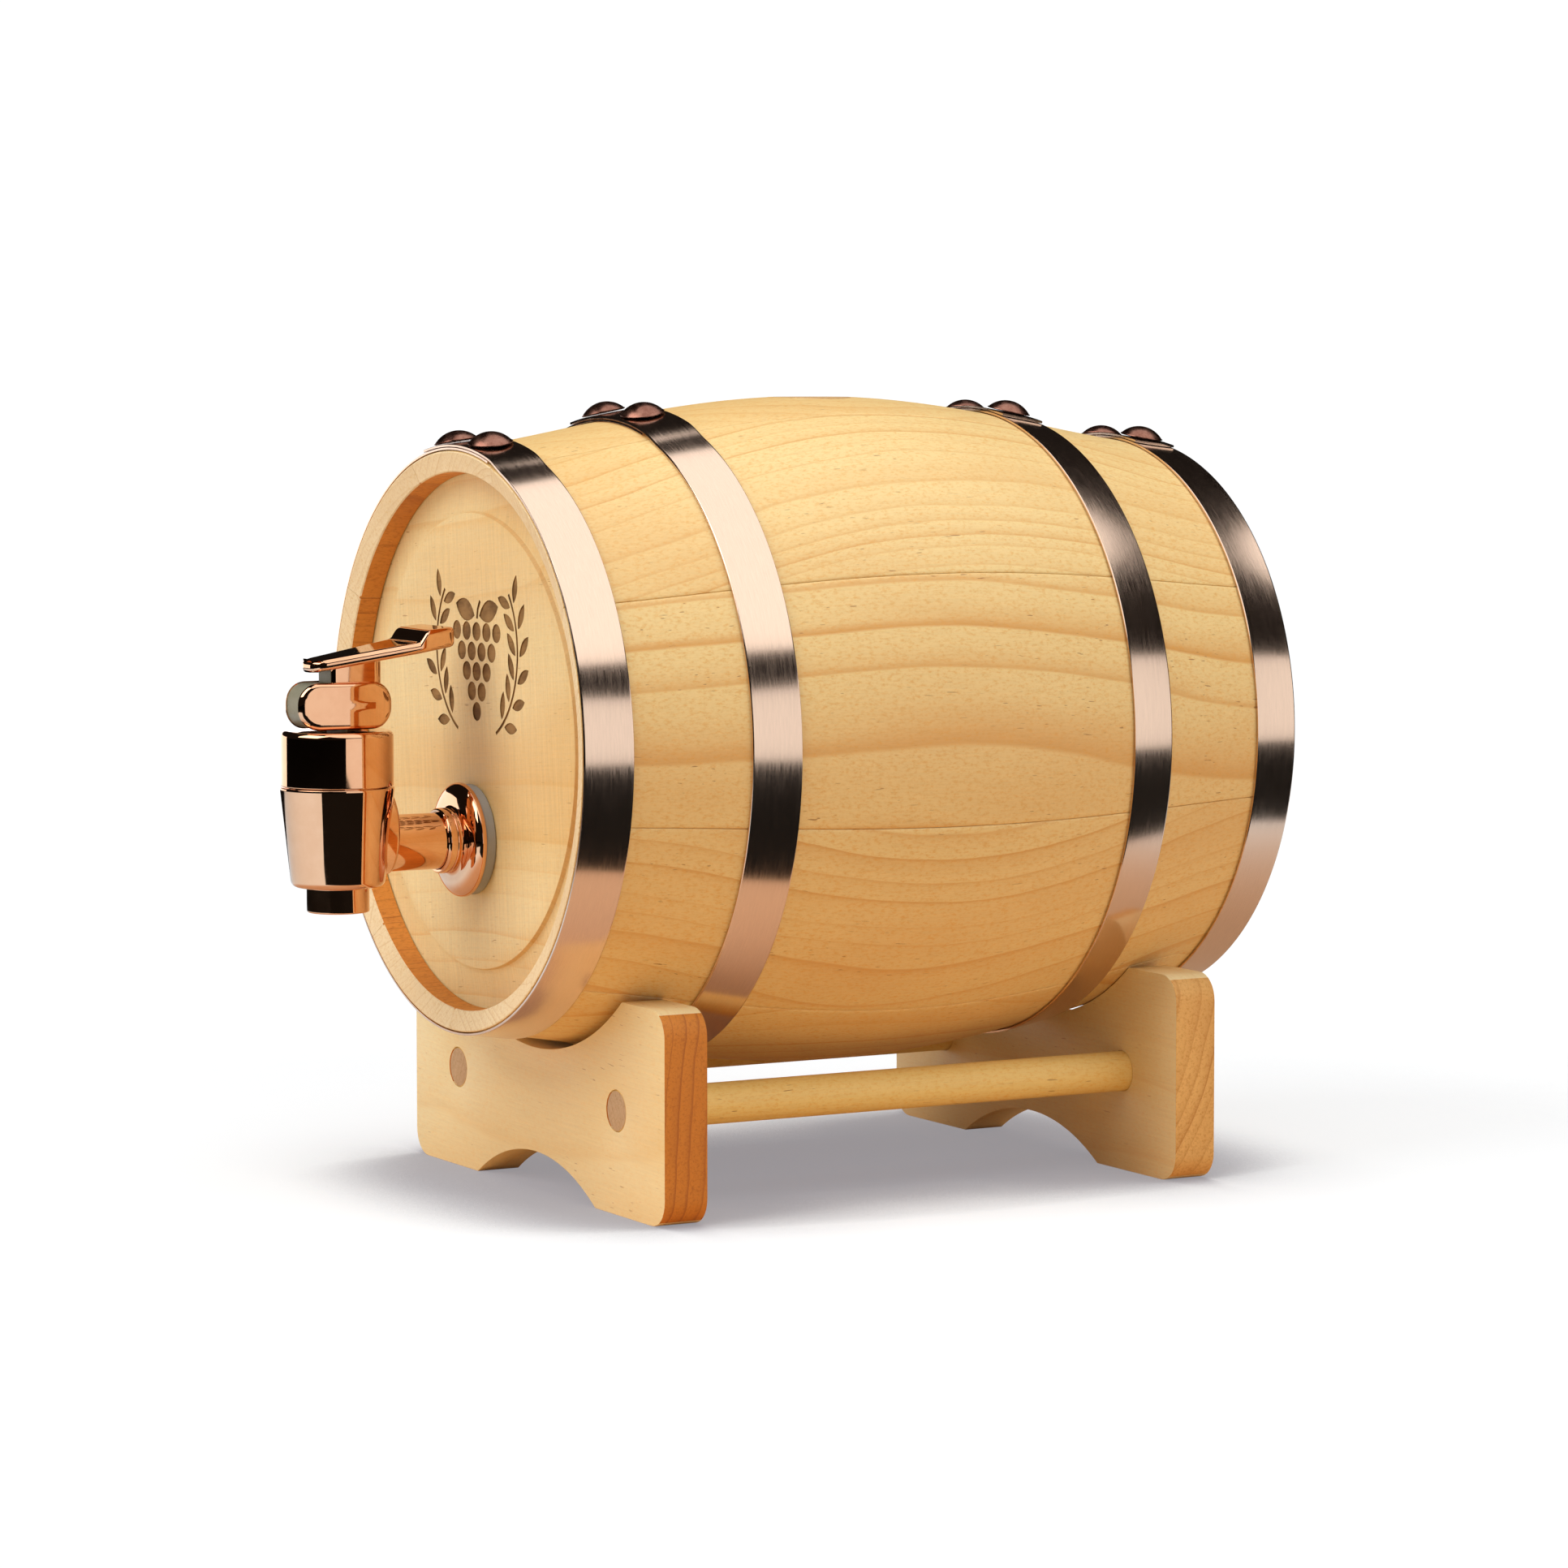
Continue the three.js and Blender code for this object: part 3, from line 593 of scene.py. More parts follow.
def stave(name, first, last):
    """One stave between two seam angles, its outer edges eased along the seams."""
    gap = math.degrees(SEAM_GAP / END_RADIUS)
    angles = [first + gap, first + gap + 0.10, first + gap + 0.28]
    angles += steps(first + 0.9, last - 0.9, max(12, round((last - first) / 1.5)))
    angles += [last - gap - 0.28, last - gap - 0.10, last - gap]
    ease = {0: 0.30, 1: 0.10, 2: 0.0}
    outline = stave_outline()
    loops = []
    for i, angle in enumerate(angles):
        drop = ease.get(min(i, len(angles) - 1 - i), 0.0)
        loops.append([polar(r - drop * e, angle, y) for r, y, e in outline])
    return loft(name, loops, smooth=32.0)


def stave_timber(middle_angle, number, side, depth, slant):
    """Where a point of a stave lay in its tree; the number keeps the staves unlike each other."""
    turn = math.radians(middle_angle)

    def to_timber(point):
        across = point.z * math.cos(turn) - point.x * math.sin(turn)
        outward = point.x * math.cos(turn) + point.z * math.sin(turn) - BILGE_RADIUS
        return (across - side + slant * point.y, point.y + 400.0 * number, outward + depth)
    return to_timber


def stave_face(centre, normal):
    """0 for the long faces, 1 for the sawn ends, 2 for the wall between the end and the head."""
    if abs(normal.y) > 0.6:
        return 1
    inner = math.hypot(centre.x, centre.z) < CHIME_RADIUS + 1.0
    return 2 if inner and abs(centre.y) > CROZE_BACK else 0


def make_staves():
    seams = [row[0] for row in STAVES.values()]
    seams.append(seams[0] + 360)
    for i, (name, (first, _, _, *pith)) in enumerate(STAVES.items()):
        last = seams[i + 1]
        obj = stave(name + "_wood", first, last)
        if name == "bung_stave":
            cut(obj, revolve("hole", [(0, 80), (10.2, 80), (14.2, 108), (0, 108)], 64, "Z"), 32.0)
        store(obj, "grain", stave_timber((first + last) / 2, i + 1, *pith))
        paint_faces(obj, [name, "stave_end", "stave_wall"], stave_face)
        piece(obj, "barrel", name)


# ---- Heads ----------------------------------------------------------------------------------
def head_outline():
    """(radius, y) of the front head, from the middle of its face to the middle of its back."""
    step = [(FIELD_RADIUS + out, -HEAD_FACE + back) for out, back in (
        (-0.5, 0), (-0.1, 0.12), (0.05, 0.5), (0.3, 1.35), (0.8, 1.6))]
    cove = []
    for t in steps(0.1, 1.0, 10):
        depth = -COVE_FLOOR + 0.7 * math.sin(math.pi * min(1.0, t * 0.75))
        cove.append((lerp(FIELD_RADIUS + 0.8, WALL_RADIUS - 0.1, t), depth))
    rim = [(TONGUE_RADIUS, -110.0), (TONGUE_RADIUS, -105.5), (76.5, -105.5), (72, -HEAD_BACK),
           (0, -HEAD_BACK)]
    inner = [(0, -HEAD_FACE)] + [(r, -HEAD_FACE) for r in (8, 20, 34, 50, 62)]
    return inner + step + cove + rim


def leaf(x, z, length, width, turn):
    """An almond shape from (x, z), pointing along turn in degrees."""
    a = math.radians(turn)
    c, s = math.cos(a), math.sin(a)
    half = [(t * length, width / 2 * math.sin(math.pi * t) ** 0.8) for t in steps(0, 1, 8)]
    found = half + [(u, -v) for u, v in half[-2:0:-1]]
    return [(x + u * c - v * s, z + u * s + v * c) for u, v in found]


def stroke(points, width):
    """A thin line of even width along a row of points."""
    left, right = [], []
    for i, (x, z) in enumerate(points):
        before, after = points[max(0, i - 1)], points[min(len(points) - 1, i + 1)]
        dx, dz = after[0] - before[0], after[1] - before[1]
        size = math.hypot(dx, dz)
        nx, nz = -dz / size * width / 2, dx / size * width / 2
        left.append((x + nx, z + nz))
        right.append((x - nx, z - nz))
    return left + right[::-1]


def emblem_shapes():
    """A plain ornament: a bunch of grapes between two leafy sprigs."""
    shapes = []
    for row, count in enumerate((5, 4, 3, 2, 1)):
        for i in range(count):
            shapes.append(circle(2.75, 20, (i - (count - 1) / 2) * 6.6, 5.0 - row * 5.8))
    shapes.append(stroke([(0.4, 8.8), (0.9, 11.5), (2.4, 14.0)], 1.2))
    shapes.append(leaf(1.8, 9.6, 13.0, 6.4, 14))
    shapes.append(leaf(-1.2, 9.6, 13.0, 6.4, 166))
    for side in (-1, 1):
        stem = arc(0, 0, 27.0, -62 if side > 0 else 242, 38 if side > 0 else 142, 24)
        shapes.append(stroke(stem, 1.0))
        for part in range(6):
            angle = lerp(-50, 30, part / 5)
            for out in (1, -1):
                x, _, z = polar(27.0 + out * 1.3, angle, 0)
                turn = angle + 90 - out * 42
                if side < 0:
                    x, turn = -x, 180 - turn
                shapes.append(leaf(x, z, 8.4, 3.3, turn))
    return [[(x + EMBLEM_X, z + EMBLEM_Z) for x, z in shape] for shape in shapes]


def emblem_cutter():
    """The ornament as upright prisms that reach into the head's face."""
    verts, faces = [], []
    for shape in emblem_shapes():
        base = len(verts)
        count = len(shape)
        verts += [(x, -HEAD_FACE - 1.0, z) for x, z in shape]
        verts += [(x, -HEAD_FACE + EMBLEM_DEPTH, z) for x, z in shape]
        faces.append(tuple(base + i for i in range(count)))
        faces.append(tuple(base + count + i for i in range(count)))
        for i in range(count):
            j = (i + 1) % count
            faces.append((base + i, base + j, base + count + j, base + count + i))
    obj = make_mesh("emblem", verts, faces, 20)
    obj.data.materials.append(MATERIALS["burn"])
    return obj


def head_timber(point):
    """The boards of the head stand nearly upright."""
    tilt = math.radians(5)
    along = point.x * math.cos(tilt) + point.z * math.sin(tilt)
    across = point.z * math.cos(tilt) - point.x * math.sin(tilt)
    return (across - 18.0, along + 5000.0, abs(point.y) - 60.0)


def make_heads():
    """The front head, with the shank's hole and the ornament, and the plain rear head."""
    front = revolve("front_head_wood", head_outline(), 180, smooth=30)
    rear = revolve("rear_head_wood", [(r, -y) for r, y in head_outline()], 180, smooth=30)
    hole = on_shank("hole", [(0, -116), (8.5, -116), (8.5, -98), (0, -98)], 48)
    for obj in (front, rear, hole):
        obj.data.materials.append(MATERIALS["head"])
    cut(front, hole, 30)
    cut(front, emblem_cutter(), 30)
    store(front, "grain", head_timber)
    store(rear, "grain", lambda p: head_timber(Vector((p.z, p.y, -p.x))))
    piece(front, "barrel", "front_head")
    piece(rear, "barrel", "rear_head")


def make_bung():
    outline = [(0, BUNG_BOTTOM), (11.0, BUNG_BOTTOM), (11.5, BUNG_BOTTOM + 0.4), (12.9, BUNG_TOP - 0.4),
               (12.7, BUNG_TOP - 0.1), (12.2, BUNG_TOP), (0, BUNG_TOP)]
    obj = revolve("bung_plug", outline, 64, "Z")
    store(obj, "grain", lambda p: (p.x - 9.0, p.y + 900.0, p.z - 60.0))
    piece(obj, "bung", "bung", "bung")


# ---- Hoops ----------------------------------------------------------------------------------
def strap_lift(angle):
    """How far the strap stands off the wood at an angle counted from its outer end."""
    layer = HOOP_THICKNESS + 0.1
    if angle <= STRAP_START:
        peel = max(0.0, STRAP_END + 4.0 - angle) / 4.0
        return layer + STRAP_PEEL * peel ** 1.6
    if angle <= STRAP_RAMP:
        t = (angle - STRAP_START) / (STRAP_RAMP - STRAP_START)
        return layer * (1 - t * t * (3 - 2 * t))
    return 0.0


def hoop(name, near, far, mirrored):
    """One strap, lapped over its own end at the top, with slightly rounded edges."""
    soft = 0.22
    thick = HOOP_THICKNESS
    top = [near + soft, near + 2 * soft, *steps(near + 3.0, far - 3.0, 3), far - 2 * soft, far - soft]
    section = [(wood_radius(y) + thick, y) for y in top]
    section += [(wood_radius(far) + thick - 0.10, far - 0.04), (wood_radius(far) + 0.10, far)]
    section += [(wood_radius(y), y) for y in steps(far - soft, near + soft, 3)]
    section += [(wood_radius(near) + 0.10, near), (wood_radius(near) + thick - 0.10, near + 0.04)]
    angles = steps(STRAP_END, STRAP_RAMP, 44) + steps(STRAP_RAMP + 1.5, STRAP_START + 360, 236)
    loops = []
    for angle in angles:
        lift = HOOP_LIFT + strap_lift(angle)
        shown = 180 - angle if mirrored else angle
        loops.append([polar(r + lift, shown, y) for r, y in section])
    obj = loft(name, loops, smooth=50)
    store(obj, "around", lambda p: (math.degrees(math.atan2(p.z, p.x)), p.y, math.hypot(p.x, p.z)))
    return obj


def rivet(name, near, far, angle):
    """A domed head, leaned square to the sloping strap."""
    ball = (RIVET_RADIUS ** 2 + RIVET_HEIGHT ** 2) / (2 * RIVET_HEIGHT)
    rim = math.degrees(math.asin(RIVET_RADIUS / ball))
    outline = [(0, 0.35), (RIVET_RADIUS - 0.9, 0.35), (RIVET_RADIUS - 0.25, 0.42),
               (RIVET_RADIUS, 0.62), (RIVET_RADIUS - 0.05, 0.80)]
    for part in steps(0.97, 0, 12):
        a = math.radians(rim * part)
        outline.append((ball * math.sin(a), ball * math.cos(a) - ball + RIVET_HEIGHT + 0.45))
    middle = (near + far) / 2
    rise = (wood_radius(far) - wood_radius(near)) / (far - near)
    base = (wood_radius(near) + wood_radius(far)) / 2 + HOOP_LIFT + 2 * HOOP_THICKNESS
    obj = revolve(name, outline, 56, "Z", smooth=40)
    about = Matrix.Translation(MIDDLE)
    turn = Matrix.Rotation(math.radians(90 - angle), 4, "Y")
    out = Matrix.Translation(Vector((0, middle, base)) * MM)
    lean = Matrix.Rotation(math.atan(rise), 4, "X")
    obj.data.transform(about @ turn @ out @ lean @ about.inverted())
    return obj


def make_hoops():
    spans = [(-END_HOOP[1], -END_HOOP[0]), (-BILGE_HOOP[1], -BILGE_HOOP[0]), BILGE_HOOP, END_HOOP]
    for i, (near, far) in enumerate(spans):
        number = i + 1
        obj = hoop(f"hoop_{number}_strap", near, far, mirrored=number < 3)
        piece(obj, "barrel", f"hoop_{number}", "hoop")
        for angle, side in zip(RIVET_ANGLES, ("right", "left")):
            stud = rivet(f"rivet_{number}_{side}_head", near, far, angle)
            piece(stud, "barrel", f"rivet_{number}_{side}", "rivet")


# ---- Tap ------------------------------------------------------------------------------------
def fillet(outline, corner_radii, count=6):
    """Round the corners of a closed row of points; corner_radii maps an index to a radius."""
    found = []
    for i, corner in enumerate(outline):
        radius = corner_radii.get(i)
        if not radius:
            found.append(corner)
            continue
        here = Vector(corner)
        before = (Vector(outline[i - 1]) - here).normalized()
        after = (Vector(outline[(i + 1) % len(outline)]) - here).normalized()
        half = before.angle(after) / 2
        reach = radius / math.tan(half)
        centre = here + (before + after).normalized() * (radius / math.sin(half))
        start, end = here + before * reach - centre, here + after * reach - centre
        sweep = start.angle(end)
        for t in steps(0, 1, count):
            a = math.sin((1 - t) * sweep) / math.sin(sweep)
            b = math.sin(t * sweep) / math.sin(sweep)
            point = centre + start * a + end * b
            found.append((point.x, point.y))
    return found


def upright(name, outline, segments):
    """Turn an outline about the tap's vertical axis."""
    return revolve(name, outline, segments, "Z", (0, TAP_Y, 0), smooth=50)


def on_shank(name, outline, segments):
    """Turn an outline about the shank's axis."""
    return revolve(name, outline, segments, "Y", (0, 0, SHANK_Z), smooth=50)


def make_tap_body():
    """Tapered cup and nozzle, the pad behind them, and the shank through the head."""
    cup = fillet([
        (6.8, NOZZLE_END), (NOZZLE_RADIUS, NOZZLE_END), (NOZZLE_RADIUS, BODY_BOTTOM),
        (BODY_FOOT_RADIUS, BODY_BOTTOM), (BODY_RADIUS, BODY_TOP - 0.7), (BODY_RADIUS, BODY_TOP),
        (13.6, BODY_TOP), (13.6, -4), (CHAMBER_RADIUS, -4), (CHAMBER_RADIUS, CHAMBER_FLOOR),
        (OUTLET_RADIUS, CHAMBER_FLOOR), (OUTLET_RADIUS, -38), (6.8, -38),
    ], {0: 0.3, 1: 0.5, 2: 0.4, 3: 2.0, 4: 1.2, 5: 0.3})
    plated(upright("tap_cup", cup, 128), "barrel", "tap_body")

    rows = ((8.0, 0.0), (14.6, 0.0), (15.2, 0.15), (15.6, 0.5), (15.75, 1.0))
    loops = [[((9.3 - shrink) * u, TAP_Y + y, -25.0 + (12.6 - shrink) * v)
              for u, v in circle(1.0, 64)] for y, shrink in rows]
    plated(loft("tap_pad", loops, smooth=50), "barrel", "tap_body")

    shank = fillet([(5.0, -141.5), (SHANK_RADIUS, -141.5), (SHANK_RADIUS, -88), (5.0, -88)],
                   {2: 0.6, 3: 0.3})
    plated(on_shank("tap_shank", shank, 96), "barrel", "tap_body")


def make_tap_trim():
    """The bonnet, the domed escutcheon with its collar, and the two washers."""
    bonnet = fillet([
        (14.0, -11.25), (BONNET_RADIUS, -11.25), (BONNET_RADIUS, BONNET_TOP), (3.4, BONNET_TOP),
        (3.4, 1.2), (14.0, 1.2),
    ], {1: 0.35, 2: 1.7, 3: 0.3})
    plated(upright("tap_bonnet_cap", bonnet, 128), "barrel", "tap_bonnet")

    flange = [(8.4, -115.3), (8.4, -123.6), (9.0, -123.7), (9.35, -123.4), (9.5, -122.9),
              (9.5, -121.3), (9.3, -121.15), (9.3, -120.95), (9.5, -120.8), (9.6, -119.6)]
    for u, v in arc(0, 0, 1.0, 4.5, 90, 16):
        flange.append((FLANGE_RADIUS - 7.0 + 7.0 * v, -116.2 - 3.1 * u))
    flange += [(FLANGE_RADIUS, -115.6), (FLANGE_RADIUS - 0.2, -115.3)]
    plated(on_shank("tap_escutcheon", flange, 128), "barrel", "tap_flange")

    for name, outer, front, back in (("outer_washer", 16.1, -115.2, -111.95),
                                     ("inner_washer", 15.5, -102.8, -100.2)):
        ring = fillet([(8.5, front), (outer, front), (outer, back), (8.5, back)],
                      {0: 0.3, 1: 0.6, 2: 0.6, 3: 0.3})
        obj = on_shank(name + "_ring", ring, 96)
        piece(obj, "barrel", name, "rubber")


def make_lock_nut():
    loops = []
    for y, inset in ((-99.9, 0.6), (-99.5, 0.0), (-93.3, 0.0), (-92.9, 0.6)):
        ring = []
        for i in range(48):
            a = 2 * math.pi * i / 48
            flat = (a + math.pi / 6) % (math.pi / 3) - math.pi / 6
            reach = min(12.05 / math.cos(flat), 13.6) - inset
            ring.append((reach * math.sin(a), y, SHANK_Z + reach * math.cos(a)))
        loops.append(ring)
    obj = loft("lock_nut_hex", loops, smooth=25)
    cut(obj, on_shank("hole", [(0, -104), (8.45, -104), (8.45, -90), (0, -90)], 48), 25)
    piece(obj, "barrel", "lock_nut", "plastic")


def crosswise(name, outline, reach):
    """A prism through the lever pin, from a (y, z) outline about the pin's axis."""
    return loft(name, [[(x, TAP_Y + u, PIN_Z + v) for u, v in outline] for x in (-reach, reach)])


def make_valve():
    """The stem that the lever lifts, the silicone plug on its foot and the pin through its top."""
    stem = fillet([
        (0, -27.5), (STEM_RADIUS, -27.5), (STEM_RADIUS, -14.8), (8, -14.8), (8, -13.2),
        (STEM_RADIUS, -13.2), (STEM_RADIUS, 15.2), (0, 15.2),
    ], {1: 0.5, 3: 0.3, 4: 0.3, 6: 1.0})
    obj = upright("valve_stem_rod", stem, 48)
    cut(obj, crosswise("tunnel", circle(PIN_RADIUS + 0.12, 24), 9), 50)
    piece(obj, "valve", "valve_stem", "plastic")

    plug = fillet([
        (0, -34.6), (7, -34.6), (7, -29.0), (5.2, -27.2), (5.2, -19.5), (11.1, -17.2), (11.1, -15.4),
        (3.3, -15.4), (3.3, -27.8), (0, -27.8),
    ], {1: 3.2, 2: 0.8, 3: 0.8, 4: 1.5, 5: 0.5, 6: 0.4})
    obj = upright("seat_plug_cup", plug, 64)
    piece(obj, "valve", "seat_plug", "silicone")

    loops = []
    for x, drop in ((-4.3, 0.3), (-4.1, 0.08), (-3.9, 0), (3.9, 0), (4.1, 0.08), (4.3, 0.3)):
        loops.append([(x, TAP_Y + u, PIN_Z + v) for u, v in circle(PIN_RADIUS - drop, 24)])
    obj = loft("lever_pin_rod", loops, smooth=50)
    piece(obj, "valve", "lever_pin", "steel")


def make_spring():
    """Compression coil under the bonnet's roof; it is built at one length and does not shorten as the
    stem rises.
    """
    turns, wide, wire = 3.5, 6.2, 0.7
    low, high = -12.3, 0.2
    count = 150
    coil = zip(arc(0, TAP_Y, wide, 0, turns * 360, count), steps(low, high, count))
    path = [Vector((u, v, z)) for (u, v), z in coil]
    loops = []
    for i, centre in enumerate(path):
        ahead = (path[min(count, i + 1)] - path[max(0, i - 1)]).normalized()
        side = ahead.cross(Vector((0, 0, 1))).normalized()
        up = side.cross(ahead)
        loops.append([centre + side * u + up * v for u, v in circle(wire, 10)])
    obj = loft("return_spring_coil", loops, smooth=60)
    piece(obj, "barrel", "return_spring", "steel")
    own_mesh(obj)


def block_profile():
    """(inset, x) from the middle of one cheek, over its rim and the recessed middle band, to the other.
    """
    edge, recess = 1.3, 0.35
    half = [(d, BLOCK_HALF) for d in (6.0, 5.0, 4.0, 3.0, 2.0)]
    for turn in steps(0, 90, 9):
        a = math.radians(turn)
        half.append((edge * (1 - math.sin(a)), BLOCK_HALF - edge + edge * math.cos(a)))
    half += [(recess, BLOCK_BAND + 0.1), (recess, BLOCK_BAND)]
    return half + [(inset, -x) for inset, x in reversed(half)]


def block_swell(y):
    """How much wider the block is at y than at its ends."""
    return 1 + BLOCK_SWELL * (1 - min(1.0, abs(y) / BLOCK_HALF_LENGTH) ** 2)


def block_look(centre, _):
    """0 for the polished cheeks, 1 for the middle band between them, which gets a painted grey
    reflection.
    """
    return int(abs(centre.x) / block_swell(centre.y - TAP_Y - BLOCK_SHIFT) < BLOCK_BAND + 0.12)


def block_ring(inset, x):
    """One ring round the block, inset from its outline and x from its middle."""
    corner, straight = BLOCK_CORNER - inset, BLOCK_HALF_LENGTH - BLOCK_CORNER
    ring = []
    for quarter in range(4):
        side = 1 if quarter in (0, 3) else -1
        rise = (BLOCK_HALF_HEIGHT - BLOCK_CORNER) * (1 if quarter < 2 else -1)
        spots = arc(side * straight, 0, corner, quarter * 90, quarter * 90 + 90, 14)
        if quarter in (0, 2):
            spots += [(part * side * straight, spots[-1][1]) for part in steps(1, -1, 10)[1:-1]]
        for y, v in spots:
            ring.append((x * block_swell(y), TAP_Y + BLOCK_SHIFT + y, PIN_Z + rise + v))
    return ring


def make_lever():
    """Rounded rocker block, neck and flared paddle with a raised thumb ledge."""
    block = loft("lever_block", [block_ring(*spot) for spot in block_profile()], smooth=40)
    pocket = [(-4.2, -10), (-4.2, 1.5), (-2.6, 4.2), (2.6, 4.2), (4.6, 1.5), (4.8, -1), (8.6, -10)]
    cutter = crosswise("pocket", pocket, 3.4)
    for obj in (cutter, block):
        obj.data.materials.append(MATERIALS["rose_gold"])
    cut(block, cutter, 40)
    # Painted reflection: the middle band takes a dark grey that stands for a grey wall seen in the
    # plating.
    paint_faces(block, ["rose_gold", "painted_grey_reflection"], block_look)
    plated(block, "lever", "lever")

    plan = fillet([(-NECK_HALF, -3.8), (NECK_HALF, -3.8), (NECK_HALF, 12.4), (-NECK_HALF, 12.4)],
                  {0: 1.6, 1: 1.6, 2: 3, 3: 3}, 8)
    neck = loft("lever_neck", [[(x, TAP_Y + y, z) for x, y in plan] for z in (17.4, 25.2)], smooth=40)
    # Painted reflection: the neck's front face takes the same dark grey.
    paint_faces(neck, ["rose_gold", "painted_grey_reflection"], lambda centre, normal: int(normal.y < -0.9))
    plated(neck, "lever", "lever")

    make_paddle()


def make_paddle():
    """Rows of (y, half width, underside, top) from the rounded tip to the thumb ledge, skinned."""
    knee = PADDLE_FLARE - 1.2
    stations = []
    for y, x in arc(PADDLE_TIP + PADDLE_TURN, -PADDLE_TURN, PADDLE_TURN, 180, 90, 8):
        t = (y - PADDLE_ROOT) / (knee - PADDLE_ROOT)
        half = x + lerp(PADDLE_NARROW, PADDLE_WIDE, t)
        stations.append((y, half, lerp(20.9, 26.5, t), lerp(24.3, 29.9, t)))
    stations += [(knee, PADDLE_WIDE, 26.5, 29.9), (PADDLE_FLARE + 1.0, PADDLE_WIDE, 26.9, 33.2),
                 (PADDLE_END, PADDLE_WIDE, 28.3, 34.1)]

    verts, faces = [], []
    for side in (1, -1):
        verts += [(side * half, TAP_Y + y, high) for y, half, low, high in stations]
        verts += [(side * half, TAP_Y + y, low) for y, half, low, high in reversed(stations)]
    last = len(stations) - 1
    count = 2 * len(stations)
    for i in range(count):
        j = (i + 1) % count
        faces.append((i, j, count + j, count + i))
    for base in (0, count):
        for i in range(last):
            faces.append(tuple(base + k for k in (i, i + 1, count - 2 - i, count - 1 - i)))
    obj = make_mesh("lever_paddle", verts, faces, 30)
    bevel(obj, 1.4, 6, 20, clamp=False)
    soften(obj.data, 60)
    plated(obj, "lever", "lever")


# ---- Stand ----------------------------------------------------------------------------------
def board_outline():
    """Round the board: feet with an arch between them, shoulders, and the barrel's saddle."""
    arch_radius = (ARCH_HALF_WIDTH ** 2 + ARCH_HEIGHT ** 2) / (2 * ARCH_HEIGHT)
    arch_angle = math.degrees(math.asin(ARCH_HALF_WIDTH / arch_radius))
    saddle = math.degrees(math.asin(-BOARD_TOP / SADDLE_RADIUS))
    inset = BOARD_HALF_WIDTH - BOARD_CORNER
    low, high = FLOOR + BOARD_CORNER, BOARD_TOP - BOARD_CORNER
    found = arc(-inset, low, BOARD_CORNER, 180, 270, 8)
    found += arc(0, FLOOR + ARCH_HEIGHT - arch_radius, arch_radius, 90 + arch_angle, 90 - arch_angle, 28)
    found += arc(inset, low, BOARD_CORNER, 270, 360, 8)
    found += arc(inset, high, BOARD_CORNER, 0, 90, 8)
    found += arc(0, 0, SADDLE_RADIUS, -saddle, -180 + saddle, 48)
    found += arc(-inset, high, BOARD_CORNER, 90, 180, 8)
    return found


def make_stand():
    """Two boards that stand across the barrel, joined by two dowels that show through them."""
    reach = BOARD_INNER_FACE + BOARD_THICKNESS
    holes = [circle(DOWEL_RADIUS + 0.12, 48, side * DOWEL_X, DOWEL_Z) for side in (-1, 1)]
    for name, near, far, shift, end in (("front_cradle", -reach, -BOARD_INNER_FACE, 7000.0, "front_end"),
                                        ("rear_cradle", BOARD_INNER_FACE, reach, 8000.0, "rear_end")):
        obj = slab(name + "_board", board_outline(), holes, near, far, 1.3)
        store(obj, "grain", lambda p: (p.z + 60.0 + 0.02 * p.x, p.x + shift, p.y % 400.0 + 35.0))
        paint_faces(obj, ["board", end], lambda centre, normal: int(abs(normal.x) > 0.6))
        piece(obj, "stand", name)
    for name, side in (("left_dowel", -1), ("right_dowel", 1)):
        front = [(0, -reach)] + [(DOWEL_RADIUS - drop, -reach + back)
                                 for drop, back in ((0.8, 0), (0.25, 0.15), (0, 0.7))]
        outline = front + [(DOWEL_RADIUS, y) for y in steps(-reach + 6, reach - 6, 30)]
        outline += [(r, -y) for r, y in reversed(front)]
        obj = revolve(name + "_rod", outline, 48, "Y", (side * DOWEL_X, 0, DOWEL_Z), smooth=40)
        store(obj, "grain", lambda p: (p.x + 14.0, p.y + 9000.0 + 500.0 * side, p.z + 130.0))
        paint_faces(obj, ["dowel", "dowel_end"], lambda centre, normal: int(abs(normal.y) > 0.6))
        piece(obj, "stand", name)


# ---- Metals, rubber and plastics ------------------------------------------------------------
def brushed_copper():
    """Copper strap with fine scratches that run along the strap."""
    s = Shader("hoop_copper")
    around, y, _ = s.split(s.attribute("around"))
    fine = s.noise(s.join(s.times(around, 0.30), s.times(y, 3.5), 0.0), 1.0, 3.0, 0.6)
    broad = s.noise(s.join(s.times(around, 0.08), s.times(y, 1.2), 3.0), 1.0, 2.0)
    s.colour(s.toned(rgb(0.82, 0.60, 0.46), s.ramp(fine, 0.25, 0.75, 0.92, 1.05, soft=False)))
    rough = s.plus(s.ramp(fine, 0.2, 0.8, 0.10, 0.17), s.ramp(broad, 0.3, 0.7, 0.0, 0.03))
    s.set(Metallic=1.0, Roughness=rough)
    s.bump(fine, 0.12, 0.00004)
    return s.material


def cloudy_metal(name, stretch, noise, span, dark, light, roughness):
    """A metal whose colour and roughness drift between two values in fine clouds."""
    s = Shader(name)
    cloud = s.streaks(s.where(), stretch, *noise)
    s.colour(s.blend(s.ramp(cloud, *span) if span else cloud, dark, light))
    s.set(Metallic=1.0, Roughness=s.ramp(cloud, 0.3, 0.7, *roughness))
    return s.material


def moulded(name, colour, roughness, grain_size, subsurface=0.0):
    """Rubber, plastics and the lever's painted grey reflection: a fine moulded texture with slight tone
    changes.
    """
    s = Shader(name)
    fine = s.streaks(s.where(), (grain_size,) * 3, 3.0, 0.6)
    broad = s.streaks(s.where(), (90, 90, 90))
    s.colour(s.blend(s.ramp(broad, 0.3, 0.7), scaled(colour, (0.86,) * 3), colour))
    s.set(Roughness=s.ramp(fine, 0.3, 0.7, roughness - 0.06, roughness + 0.06))
    s.set(Subsurface_Weight=subsurface)
    s.bump(fine, 0.2, 0.00005)
    return s.material


